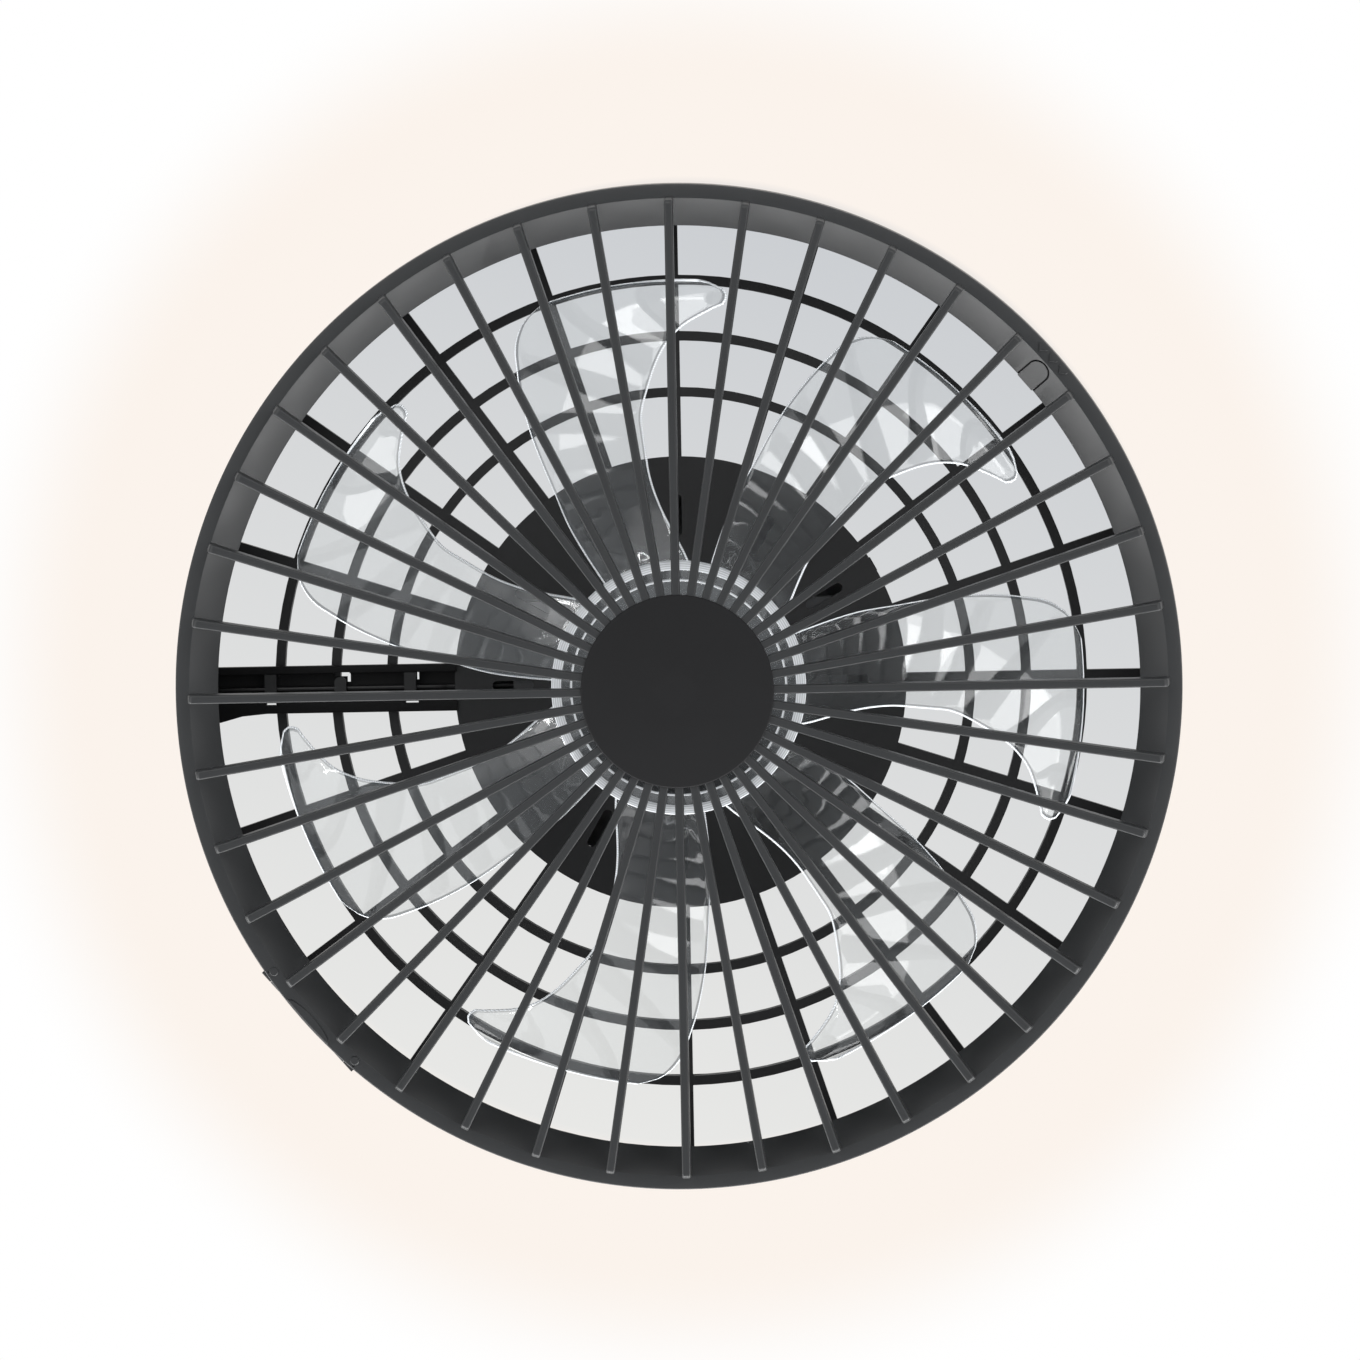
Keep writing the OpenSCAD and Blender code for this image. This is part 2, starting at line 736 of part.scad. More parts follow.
// Blades. The two edges are given as [share of the way from root to tip, angle from the
// tail of the blade], and the surface rises from the trailing to the leading edge.
root_r = hub_r - 0.9;
lead_edge = [
  [0, 44], [0.231, 42.3], [0.374, 40.2], [0.609, 37.6], [0.808, 34.6], [0.929, 32],
  [0.979, 29.2], [1, 26.5]
];
trail_edge = [
  [0, 2.4], [0.117, 9.5], [0.217, 13.2], [0.359, 14.9], [0.495, 14.9], [0.623, 12.8],
  [0.822, 7], [0.907, 1.4], [0.929, 0], [0.957, 0], [0.986, 1.8], [1, 4.5]
];
stations = [
  0, 0.06, 0.117, 0.167, 0.217, 0.288, 0.359, 0.423, 0.495, 0.559, 0.623, 0.694, 0.758,
  0.822, 0.865, 0.907, 0.929, 0.957, 0.979, 0.989, 1
];
chord_steps = 9;
z_trail = z_hub + 3.2;

function blade_point(f, s, side) =
  let (
    a = -(lookup(f, trail_edge) * (1 - s) + lookup(f, lead_edge) * s),
    r = root_r + f * (tip_r - root_r),
    rise = pitch_hub + (pitch_tip - pitch_hub) * f,
    low = z_trail + (pitch_hub - rise) * 0.45,
    z = low + rise * s + camber * 4 * s * (1 - s) * (0.4 + 0.6 * f)
  )
  [r * cos(a), r * sin(a), z + side * blade_t / 2];

module blade(i) {
  n = len(stations);
  m = chord_steps + 1;
  points = [
    for (side = [-1, 1]) for (f = stations) for (k = [0 : chord_steps])
      blade_point(f, k / chord_steps, side)
  ];
  o = n * m;
  faces = concat(
    [for (j = [0 : n - 2]) for (k = [0 : m - 2]) each let (a = j * m + k)
      [[a, a + m, a + m + 1], [a, a + m + 1, a + 1],
       [o + a, o + a + m + 1, o + a + m], [o + a, o + a + 1, o + a + m + 1]]],
    [for (j = [0 : n - 2]) each let (a = j * m, b = j * m + m - 1)
      [[a, o + a, o + a + m], [a, o + a + m, a + m],
       [b, b + m, o + b + m], [b, o + b + m, o + b]]],
    [for (k = [0 : m - 2]) each let (a = k, b = (n - 1) * m + k)
      [[a, a + 1, o + a + 1], [a, o + a + 1, o + a],
       [b, o + b, o + b + 1], [b, o + b + 1, b + 1]]]
  );
  color(clear) rotate([0, 0, blade_start - (i - 1) * 360 / blade_count])
    polyhedron(points, faces, convexity = 4);
}

module hub_washer() {
  color(steel) ring(9, shaft_d / 2 + 0.05, z_nut, z_boss);
}

module hub_nut() {
  color([0.25, 0.25, 0.25]) difference() {
    union() {
      disc(8.5, z_nut - 2, z_nut);
      translate([0, 0, z_nut - 9]) cylinder(r = 7.5, h = 8, $fn = 6);
    }
    disc(shaft_d / 2 + 0.02, z_nut - 10, z_nut + 1);
  }
}

// Front guard: rim, inward lip, ribs and hub cup, moulded as one piece.
// The point inside the rim's corner, one skin thickness from both faces.
lip_n = [lip_h, lip_w] / slant_l;
face_n = [-rim_fall, rim_w] / norm([rim_fall, rim_w]);
corner_det = lip_n[0] * face_n[1] - lip_n[1] * face_n[0];
corner = [
  rim_r + skin_t * (face_n[1] - lip_n[1]) / corner_det,
  z_rim + skin_t * (lip_n[0] - face_n[0]) / corner_det
];
lip_back = skin_t / lip_n[0];
skirt_in = fan_r - skin_t;
z_skirt = corner[1] + (skirt_in - corner[0]) * rim_fall / rim_w;
z_guard_top = z_split - gap;

module guard_rim() {
  rotate_extrude() polygon([
    [fan_r, z_guard_top], [fan_r, z_rim + rim_fall + 0.4],
    [fan_r - 0.6, z_rim + rim_fall - 1.2], [rim_r + rim_w * 0.45, z_rim + rim_fall * 0.38],
    [rim_r + 0.6, z_rim], [rim_r - 0.4, z_rim + 0.5], [lip_r, z_lip], [lip_r + lip_back, z_lip],
    corner, [skirt_in, z_skirt], [skirt_in, z_guard_top]
  ]);
}

// The ribs' outline in a plane through the fan's axis.
rib_end = rim_r - 1.5;
z_rib_foot = z_ribs + rib_rim_depth;
end_steps = 6;

module rib_outline() {
  polygon(concat(
    [[disc_r - cup_t / 2, z_ribs]],
    [for (k = [0 : end_steps])
      let (a = -90 + k * 80 / end_steps)
      [rib_end - rib_end_r + rib_end_r * cos(a), z_ribs + rib_end_r + rib_end_r * sin(a)]],
    [[rim_r + 0.9, z_rim + 0.8], [rim_r - 1.5, z_rim + 3.6], [rim_r - 6, z_rib_foot],
     [disc_r - cup_t / 2, z_ribs + rib_hub_depth]]
  ));
}

module rib_section() {
  translate([0, z_ribs + rib_t / 2]) circle(d = rib_t, $fn = 32);
  translate([-rib_t / 2, z_ribs + rib_t / 2]) square([rib_t, rim_back + rim_fall]);
}

// One rib: its outline as a plate, cut to the round-fronted section.
module rib() {
  intersection() {
    rotate([90, 0, 0]) translate([0, 0, -rib_t / 2]) linear_extrude(rib_t) rib_outline();
    translate([disc_r / 2, 0, 0]) rotate([90, 0, 90]) linear_extrude(fan_r) rib_section();
  }
}

// The latch tongue's outline on the lip: straight sides and a round end, with a tail
// that runs on past the lip's edge.
module tongue_plan(w, l, tail) {
  translate([-tail, -w / 2]) square([l - w / 2 + tail, w]);
  translate([l - w / 2, 0]) circle(d = w);
}

// A frame on the lip at the latch: x runs down the lip towards the rim, z out of its back.
module at_lip() {
  rotate([0, 0, latch_ang]) translate([lip_r, 0, z_lip]) rotate([0, slant, 0]) children();
}

tongue_l = slant_l - 2.2;
z_cup = z_ribs + cup_h;

module knuckles() {
  at_hinge() difference() {
    for (s = [0, 1]) mirror([0, s, 0]) {
      along_y(knuckle_r, pin_near, knuckle_far);
      translate([-knuckle_r, pin_near, -knuckle_r - 3.5])
        cube([knuckle_r - 0.5, knuckle_l, knuckle_r + 3.5]);
    }
    along_y(pin_hole_r, -pin_far, pin_far);
  }
}

module front_guard() {
  color(black) {
    difference() {
      guard_rim();
      at_hinge() translate([-knuckle_r - 0.8, -notch_half, -knuckle_r - 0.8])
        cube([notch_depth, 2 * notch_half, notch_depth]);
      at_lip() translate([0, 0, -1]) linear_extrude(skin_t + 4)
        tongue_plan(tongue_w + 2 * tongue_gap, tongue_l + tongue_gap, arm_h);
    }
    around(rib_count, rib_start) rib();
    ring(disc_r, disc_r - cup_t, z_ribs, z_cup);
    disc(disc_r, z_cup - 2, z_cup);
    knuckles();
  }
}

// Centre disc: a shallow cap whose wall plugs into the guard's hub cup.
cap_wall_r = disc_r - cup_t - gap;
cap_wall_t = 1.8;
cap_wall_h = 6;

module hub_cap() {
  color(black) rotate_extrude() polygon([
    [0, z_front], [disc_r - 0.9, z_front], [disc_r, z_front + 0.9], [disc_r, z_ribs],
    [cap_wall_r, z_ribs], [cap_wall_r, z_ribs + cap_wall_h],
    [cap_wall_r - cap_wall_t, z_ribs + cap_wall_h], [cap_wall_r - cap_wall_t, z_ribs + 0.6],
    [0, z_ribs + 0.6]
  ]);
}

// Latch: a springy tongue cut out of the lip. It turns on the bead at the lip's edge, so
// that pressing its round end tips the arm behind the lip inward, which frees the nose
// from the keeper on the drum's wall.
arm_t = 2.4;
nose_t = 2.2;
z_nose = z_lip + arm_h - nose_t;
bead_r = arm_t / 2 + gap;
bead_l = tongue_w - 1;

// The tongue, its arm and its nose seen from the side.
module latch_profile() {
  polygon([
    [lip_r, z_lip], [rim_r, z_rim], [rim_r + lip_back, z_rim],
    [lip_r + arm_t, z_lip + (lip_back - arm_t) * lip_h / lip_w],
    [lip_r + arm_t, z_nose], [lip_r + nose_l, z_nose], [lip_r + nose_l, z_nose + nose_t],
    [lip_r, z_nose + nose_t]
  ]);
}

module latch_tongue() {
  color(black) {
    intersection() {
      rotate([0, 0, latch_ang]) rotate([90, 0, 0]) translate([0, 0, -tongue_w])
        linear_extrude(tongue_w * 2) latch_profile();
      at_lip() translate([0, 0, -1]) linear_extrude(arm_h + nose_l)
        tongue_plan(tongue_w, tongue_l, arm_h + nose_t);
    }
    rotate([0, 0, latch_ang]) translate([lip_r + arm_t / 2, 0, z_lip + 0.5])
      along_y(bead_r, -bead_l / 2, bead_l / 2);
  }
}

keeper_t = 2;
keeper_w = 14;
keeper_h = 12;
keeper_in = lip_r + nose_l + 0.5;
z_keeper = z_nose - gap - keeper_t;

module latch_keeper() {
  color(black) intersection() {
    rotate([0, 0, latch_ang]) {
      translate([keeper_in, -keeper_w / 2, z_keeper]) cube([fan_r - keeper_in, keeper_w, keeper_t]);
      translate([drum_in - 2.5, -keeper_w / 2, z_keeper]) cube([8, keeper_w, keeper_h]);
      for (y = [-keeper_w / 2 + 3, keeper_w / 2 - 1])
        translate([0, y, z_keeper]) rotate([90, 0, 0]) linear_extrude(2)
          polygon([[keeper_in + 1, keeper_t / 2], [drum_in, keeper_t / 2], [drum_in, keeper_h - 2]]);
    }
    disc(drum_in - 0.02, z_split, z_flange, $fn = 720);
  }
}

module hinge_pins() {
  color(steel) at_hinge() for (s = [0, 1]) mirror([0, s, 0])
    along_y(pin_r, pin_near, pin_far);
}

ceiling_bracket();
cable_grommet();
terminal_block();
canopy();
canopy_screws();
hub_screws();
motor_plate();
rear_grille();
grille_screws();
housing_drum();
led_tray();
led_strip();
led_chips();
diffuser_ring();
cable_duct();
duct_clips();
led_cable();
led_driver();
remote_receiver();
motor_base();
motor_screws();
motor_dampers();
motor_stator();
motor_windings();
bearing(z_bearing_top);  // upper_bearing
bearing(z_bearing_low);  // lower_bearing
rotor_can();
rotor_magnets();
motor_shaft();
impeller_hub();
blade(1);  // blade_1
blade(2);  // blade_2
blade(3);  // blade_3
blade(4);  // blade_4
blade(5);  // blade_5
blade(6);  // blade_6
blade(7);  // blade_7
hub_washer();
hub_nut();
front_guard();
hub_cap();
latch_tongue();
latch_keeper();
hinge_pins();
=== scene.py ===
"""Looks of a caged, flush-mounted ceiling fan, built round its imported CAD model.

Lengths are in metres, +Z is up, and the ceiling is the plane z = 0.
"""

import json
from math import atan2, cos, pi, radians, sin, sqrt, tan

import bmesh
import bpy
from bpy.props import FloatProperty, FloatVectorProperty, IntProperty, PointerProperty
from mathutils import Matrix, Vector


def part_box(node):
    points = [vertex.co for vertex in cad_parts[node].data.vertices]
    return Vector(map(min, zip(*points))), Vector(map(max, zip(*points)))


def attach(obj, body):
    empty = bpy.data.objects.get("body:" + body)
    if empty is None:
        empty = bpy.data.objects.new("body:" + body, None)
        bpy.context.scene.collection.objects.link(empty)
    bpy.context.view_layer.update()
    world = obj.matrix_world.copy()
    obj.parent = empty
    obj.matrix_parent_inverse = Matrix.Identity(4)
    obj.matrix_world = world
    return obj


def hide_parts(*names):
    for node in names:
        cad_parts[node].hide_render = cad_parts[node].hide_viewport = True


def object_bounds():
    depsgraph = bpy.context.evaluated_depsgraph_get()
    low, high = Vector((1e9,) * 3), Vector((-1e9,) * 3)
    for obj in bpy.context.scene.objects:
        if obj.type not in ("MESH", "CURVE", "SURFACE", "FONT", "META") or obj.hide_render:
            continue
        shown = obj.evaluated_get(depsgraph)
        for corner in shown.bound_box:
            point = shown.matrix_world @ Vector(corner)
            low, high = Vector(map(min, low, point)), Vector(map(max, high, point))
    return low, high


bl_info = {
    "name": "Ceiling fan looks",
    "version": (1, 0, 0),
    "blender": (4, 5, 0),
    "location": "View3D > Sidebar > Fan",
    "description": "Dresses a caged ceiling fan with clear blades and a light ring",
    "category": "Object",
}

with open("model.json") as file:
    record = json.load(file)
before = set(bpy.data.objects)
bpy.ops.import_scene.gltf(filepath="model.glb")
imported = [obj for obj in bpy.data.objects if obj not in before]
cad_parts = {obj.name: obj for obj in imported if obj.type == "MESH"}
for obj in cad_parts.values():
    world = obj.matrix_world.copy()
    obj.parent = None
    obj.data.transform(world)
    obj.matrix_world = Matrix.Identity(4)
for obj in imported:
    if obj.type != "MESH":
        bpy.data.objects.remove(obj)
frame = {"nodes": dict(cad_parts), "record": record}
CAD_BOX = [list(corner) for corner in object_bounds()]

MM = 0.001
# Steps in a turned piece's full circle, and in one rounded corner.
TURN_STEPS = 288
ROUND_STEPS = 4
# Nearly all values of a noise texture lie between these two.
NOISE_LOW, NOISE_HIGH = 0.3, 0.7


# ---------------------------------------------------------------- sizes read from the frame

def radius_range(node):
    """The smallest and the largest distance of a node's surface from the fan's axis."""
    reach = [vertex.co.xy.length for vertex in frame["nodes"][node].data.vertices]
    return min(reach), max(reach)


def height_range(node):
    """The lowest and the highest point of a node."""
    low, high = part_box(node)
    return low.z, high.z


FAN_R = (CAD_BOX[1][0] - CAD_BOX[0][0]) / 2
DISC_R = radius_range("hub_cap")[1]
Z_FRONT, _ = height_range("hub_cap")
Z_RIBS, _ = height_range("front_guard")
HUB_INNER_R, HUB_R = radius_range("impeller_hub")
Z_HUB, Z_HUB_TOP = height_range("impeller_hub")
TIP_R = radius_range("blade_1")[1]
JOINTS = frame["record"]["behaviour"]["joints"]
HINGE_AT = next(Vector(joint["pos_m"]) for joint in JOINTS if joint["name"] == "guard_swing")
Z_FLOOR = height_range("cable_duct")[1]


# ---------------------------------------------------------------- what a user may change

def length(name, default, description):
    return FloatProperty(name=name, default=default, description=description, unit="LENGTH", precision=4)


def angle(name, degrees, description):
    return FloatProperty(name=name, default=radians(degrees), description=description, subtype="ANGLE")


def watts(name, default, description):
    return FloatProperty(name=name, default=default, description=description, subtype="POWER")


def linear(hex_colour):
    """An sRGB hex colour, such as "#2b2c2d", as linear red, green, blue and alpha."""
    channels = [int(hex_colour[i:i + 2], 16) / 255 for i in (1, 3, 5)]
    return [c / 12.92 if c <= 0.04045 else ((c + 0.055) / 1.055) ** 2.4 for c in channels] + [1.0]


def colour(name, hex_colour, description):
    return FloatVectorProperty(
        name=name, default=linear(hex_colour), description=description,
        subtype="COLOR", size=4, min=0.0, max=1.0,
    )


class GuardSizes(bpy.types.PropertyGroup):
    """Sizes of the front guard."""
    rib_count: IntProperty(name="Ribs", default=40, description="Number of radial ribs")
    rib_start: angle("First rib", -1.07, "Angle of the first rib")
    rib_t: length("Rib thickness", 4.2 * MM, "Thickness of a rib")
    rib_hub_depth: length("Depth at the hub", 9 * MM, "Depth of a rib where it leaves the hub")
    rib_rim_depth: length("Depth at the rim", 19 * MM, "Depth of a rib near the rim")
    rib_end_r: length("Rib end", 2.5 * MM, "Radius of a rib's rounded outer end")
    rib_round: length("Rib round", 0.8 * MM, "Radius of the rounds along a rib's front")
    rim_w: length("Rim width", 8 * MM, "Width of the rim's face")
    rim_back: length("Rim set-back", 20.5 * MM, "From the ribs' front back to the rim's inner edge")
    rim_h: length("Rim height", 12.7 * MM, "From the rim's inner edge to the top of its skirt")
    rim_fall: length("Rim fall", 0.4 * MM, "How far the rim's face falls back to its outer edge")
    draft: length("Draft", 1.2 * MM, "How much the skirt widens towards the drum")
    lip_w: length("Lip width", 13.7 * MM, "Width of the inward lip")
    lip_h: length("Lip height", 12.3 * MM, "Height of the inward lip")
    skin_t: length("Skin", 2.2 * MM, "Thickness of the rim and the lip")
    cup_t: length("Cup wall", 2.9 * MM, "Wall of the hub cup")
    cup_h: length("Cup depth", 12.5 * MM, "Depth of the hub cup")
    latch_ang: angle("Latch", -41.5, "Angle of the latch")
    tongue_w: length("Tongue width", 10.5 * MM, "Width of the latch tongue")
    tongue_gap: length("Tongue gap", 0.95 * MM, "Gap round the latch tongue")
    tongue_end: length("Tongue end", 1.6 * MM, "From the tongue's round end to the rim")
    arm_t: length("Latch arm", 2.4 * MM, "Thickness of the latch's arm")
    knuckle_r: length("Knuckle", 3.2 * MM, "Radius of a hinge knuckle")
    knuckle_near: length("Knuckle place", 20.75 * MM, "From the hinge's middle to a knuckle")
    knuckle_l: length("Knuckle length", 6 * MM, "Length of a hinge knuckle")
    pin_r: length("Pin hole", 1.55 * MM, "Radius of the holes for the hinge pins")
    notch_l: length("Notch", 85.4 * MM, "Length of the notch in the skirt at the hinge")
    mark_h: length("Mark height", 0.8 * MM, "Height of the raised marks on the rim")


class ImpellerSizes(bpy.types.PropertyGroup):
    """Sizes of the impeller."""
    blade_start: angle("First blade", -31.6, "Angle of the first blade's tail")
    blade_t: length("Blade thickness", 1.8 * MM, "Thickness of a blade")
    edge_w: length("Edge round", 1.3 * MM, "Width of a blade's rounded border")
    pitch_hub: length("Rise at the hub", 31 * MM, "Rise of a blade at the hub")
    pitch_tip: length("Rise at the tip", 15 * MM, "Rise of a blade at the tip")
    camber: length("Camber", 4 * MM, "Camber of a blade at its tip")
    hub_t: length("Hub wall", 2.4 * MM, "Wall of the clear hub")
    ring_w: length("Ring width", 4.9 * MM, "Width of the bright ring round the hub's face")
    ridge_r: length("Ridge radius", 53 * MM, "Inner radius of the thin ridge on the hub's face")
    ridge_w: length("Ridge width", 1.1 * MM, "Width of the thin ridge on the hub's face")


class DuctSizes(bpy.types.PropertyGroup):
    """Sizes of the cable duct, across from its own middle line."""
    duct_ang: angle("Duct", 178.93, "Angle of the duct")
    start: length("Start", 113.6 * MM, "Radius where the duct starts")
    end: length("End", 245 * MM, "Radius where the duct ends")
    rail_h: length("Rail height", 8 * MM, "Height of the rails")
    floor_t: length("Floor", 1.4 * MM, "Thickness of the floor")
    upper: length("Upper rail", 7.6 * MM, "From the middle to the narrow rail")
    upper_w: length("Upper rail width", 4 * MM, "Width of the narrow rail")
    lower: length("Lower rail", 6.7 * MM, "From the middle to the wide rail")
    lower_w: length("Lower rail width", 5.6 * MM, "Width of the wide rail")
    clip_r: length("First clip", 137.4 * MM, "Radius to the middle of the first clip")
    clip_pitch: length("Clip pitch", 35.5 * MM, "Distance between clips")
    clip_w: length("Clip width", 6 * MM, "Width of a clip")
    clip_t: length("Clip thickness", 2 * MM, "Thickness of a clip")


class Finishes(bpy.types.PropertyGroup):
    """Colours of the finishes."""
    guard: colour("Guard", "#202122", "Moulded plastic of the guard")
    drum: colour("Housing", "#1d1d1e", "Moulded plastic of the drum, grille, motor plate and canopy")
    disc: colour("Centre disc", "#141415", "Finer moulded plastic of the centre disc")
    # The duct's black is partly painted shade for its deep channel, and it is also the painted shade in the
    # groove round the latch.
    duct: colour("Cable duct", "#0d0d0e", "Moulded plastic of the cable duct")
    clear: colour("Blades", "#e3e9ee", "Faint milk in the clear plastic of the impeller")
    # Painted light: the impeller's painted highlight on its edges and rings, and the painted shade just
    # inside the blades' edges.
    bright: colour("Bright edges", "#f2f6fa", "Edges and rings of the impeller, which gather light")
    edge_shade: colour("Shaded edges", "#4a5054", "Thin line inside the blades' bright edges")
    opal: colour("Light ring", "#cfc9be", "Opal diffuser")
    glow: colour("Glow", "#ffe3c4", "Light of the ring")
    zinc: colour("Zinc", "#a9abad", "Zinc-plated steel")


class Studio(bpy.types.PropertyGroup):
    """Camera, lamps and ceiling."""
    camera_at: FloatVectorProperty(
        name="Camera", default=(0.0445, -0.1269, -2.612), subtype="TRANSLATION", unit="LENGTH",
        description="Where the camera stands, almost on the fan's axis below it",
    )
    aim_at: FloatVectorProperty(
        name="Aim", default=(0.0008, -0.0041, -0.168), subtype="TRANSLATION", unit="LENGTH",
        description="The point in the middle of the picture",
    )
    lens: FloatProperty(name="Lens", default=130.6, description="Focal length in millimetres", unit="CAMERA")
    key_power: watts("Keys", 74.0, "Power of each low lamp")
    sheet_power: watts("Sheets", 18.0, "Power of each soft sheet")
    surroundings: colour("Surroundings", "#c0c2c4", "Pale room all round")
    halo: colour("Halo", "#fbf3ec", "Ceiling just outside the fan")
    shade_far: colour("Ceiling, far", "#cbced2", "Ceiling behind the grille, at the picture's top")
    shade_near: colour("Ceiling, near", "#e8e8e6", "Ceiling behind the grille, at the picture's bottom")


GROUPS = {
    "fan_guard": GuardSizes,
    "fan_impeller": ImpellerSizes,
    "fan_duct": DuctSizes,
    "fan_finishes": Finishes,
    "fan_studio": Studio,
}


# ---------------------------------------------------------------- mesh helpers

def rounded(corners):
    """A closed outline from corners (x, y, radius), each rounded to its own radius."""
    outline = []
    for i, (x, y, radius) in enumerate(corners):
        here = Vector((x, y))
        if radius == 0:
            outline.append((x, y))
            continue
        back = Vector(corners[i - 1][:2]) - here
        ahead = Vector(corners[(i + 1) % len(corners)][:2]) - here
        half = back.angle(ahead) / 2
        run = min(radius / tan(half), back.length / 2, ahead.length / 2)
        start, end = here + back.normalized() * run, here + ahead.normalized() * run
        centre = here + (back.normalized() + ahead.normalized()).normalized() * (run / cos(half))
        first = atan2(start.y - centre.y, start.x - centre.x)
        last = atan2(end.y - centre.y, end.x - centre.x)
        sweep = (last - first + pi) % (2 * pi) - pi
        reach = (start - centre).length
        for k in range(ROUND_STEPS + 1):
            a = first + sweep * k / ROUND_STEPS
            outline.append((centre.x + reach * cos(a), centre.y + reach * sin(a)))
    return outline


def lathe(outline):
    """A closed outline of (radius, height) turned about the fan's axis."""
    mesh = bmesh.new()
    poles = {i: mesh.verts.new((0, 0, z)) for i, (r, z) in enumerate(outline) if r < 1e-9}
    turns = []
    for k in range(TURN_STEPS):
        a = 2 * pi * k / TURN_STEPS
        turns.append([
            poles.get(i) or mesh.verts.new((r * cos(a), r * sin(a), z))
            for i, (r, z) in enumerate(outline)
        ])
    for k in range(TURN_STEPS):
        here, there = turns[k - 1], turns[k]
        for i in range(len(outline)):
            corners = dict.fromkeys((here[i - 1], here[i], there[i], there[i - 1]))
            if len(corners) > 2:
                mesh.faces.new(corners)
    bmesh.ops.recalc_face_normals(mesh, faces=mesh.faces)
    return mesh


def plate(outline, low, high):
    """A flat outline raised from low to high."""
    mesh = bmesh.new()
    base = [mesh.verts.new((x, y, low)) for x, y in outline]
    top = [mesh.verts.new((x, y, high)) for x, y in outline]
    mesh.faces.new(base)
    mesh.faces.new(top)
    for i in range(len(outline)):
        mesh.faces.new((base[i - 1], base[i], top[i], top[i - 1]))
    bmesh.ops.recalc_face_normals(mesh, faces=mesh.faces)
    return mesh


def moved(mesh, matrix):
    """The mesh moved by a matrix."""
    bmesh.ops.transform(mesh, matrix=matrix, verts=mesh.verts)
    return mesh


def turned(mesh, a):
    """The mesh turned about the fan's axis."""
    return moved(mesh, Matrix.Rotation(a, 4, "Z"))


def arc(radius, first, last, steps, middle=(0, 0)):
    """Points on an arc, its ends among them."""
    angles = [first + (last - first) * k / steps for k in range(steps + 1)]
    return [(middle[0] + radius * cos(a), middle[1] + radius * sin(a)) for a in angles]


def pour(source, target):
    """Adds the faces of one mesh to another, and frees the first."""
    held = bpy.data.meshes.new("held")
    source.to_mesh(held)
    source.free()
    target.from_mesh(held)
    bpy.data.meshes.remove(held)


def eased(mesh, edges, offset, segments=2, profile=0.0):
    """The mesh with some of its edges eased: in fine steps with profile 0, and round with profile 0.5."""
    bmesh.ops.bevel(
        mesh, geom=edges, offset=offset, segments=segments, profile=profile, affect="EDGES",
        clamp_overlap=True,
    )
    return mesh


def block(low, high):
    """A box between two corners."""
    mesh = bmesh.new()
    bmesh.ops.create_cube(mesh, size=1)
    size = Vector(high) - Vector(low)
    middle = (Vector(high) + Vector(low)) / 2
    bmesh.ops.scale(mesh, vec=size, verts=mesh.verts)
    bmesh.ops.translate(mesh, vec=middle, verts=mesh.verts)
    return mesh


def make_object(name, mesh, sharp=30):
    """A mesh object with smooth shading between sharp edges."""
    for face in mesh.faces:
        face.smooth = True
    for edge in mesh.edges:
        edge.smooth = len(edge.link_faces) == 2 and edge.calc_face_angle(pi) < radians(sharp)
    data = bpy.data.meshes.new(name)
    mesh.to_mesh(data)
    mesh.free()
    piece = bpy.data.objects.new(name, data)
    bpy.context.scene.collection.objects.link(piece)
    return piece


def combine(first, second, operation):
    """Joins, cuts or intersects two closed meshes, and gives back the result."""
    piece, tool = make_object("first", first), make_object("second", second)
    step = piece.modifiers.new(operation, "BOOLEAN")
    step.operation, step.solver, step.object = operation, "MANIFOLD", tool
    solved = piece.evaluated_get(bpy.context.evaluated_depsgraph_get())
    result = bmesh.new()
    result.from_mesh(solved.to_mesh())
    solved.to_mesh_clear()
    for used in (piece, tool):
        data = used.data
        bpy.data.objects.remove(used)
        bpy.data.meshes.remove(data)
    return result


def place(name, mesh, finish, body, nodes, sharp=30):
    """Makes a piece that rides on a body and stands for CAD nodes."""
    piece = make_object(name, mesh, sharp)
    piece.data.materials.append(finish)
    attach(piece, body)
    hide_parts(*nodes)
    return piece


def dress(node, finish):
    """Gives a CAD node its finish."""
    piece = frame["nodes"][node]
    piece.data.materials.clear()
    piece.data.materials.append(finish)


# ---------------------------------------------------------------- materials

def add_node(tree, kind, inputs=None, **settings):
    """Adds a node with its settings, and gives its sockets a value or a link."""
    node = tree.nodes.new(kind)
    for key, value in settings.items():
        setattr(node, key, value)
    for key, value in (inputs or {}).items():
        if isinstance(value, bpy.types.NodeSocket):
            tree.links.new(value, node.inputs[key])
        else:
            node.inputs[key].default_value = value
    return node


def new_material(name):
    """An empty node material with its output and the object's own coordinates."""
    material = bpy.data.materials.new(name)
    material.use_nodes = True
    tree = material.node_tree
    tree.nodes.clear()
    output = add_node(tree, "ShaderNodeOutputMaterial")
    place_on = add_node(tree, "ShaderNodeTexCoord").outputs["Object"]
    return material, tree, output, place_on


def per_metre(size):
    """The scale of a noise texture whose grains are about that size."""
    return 1 / size


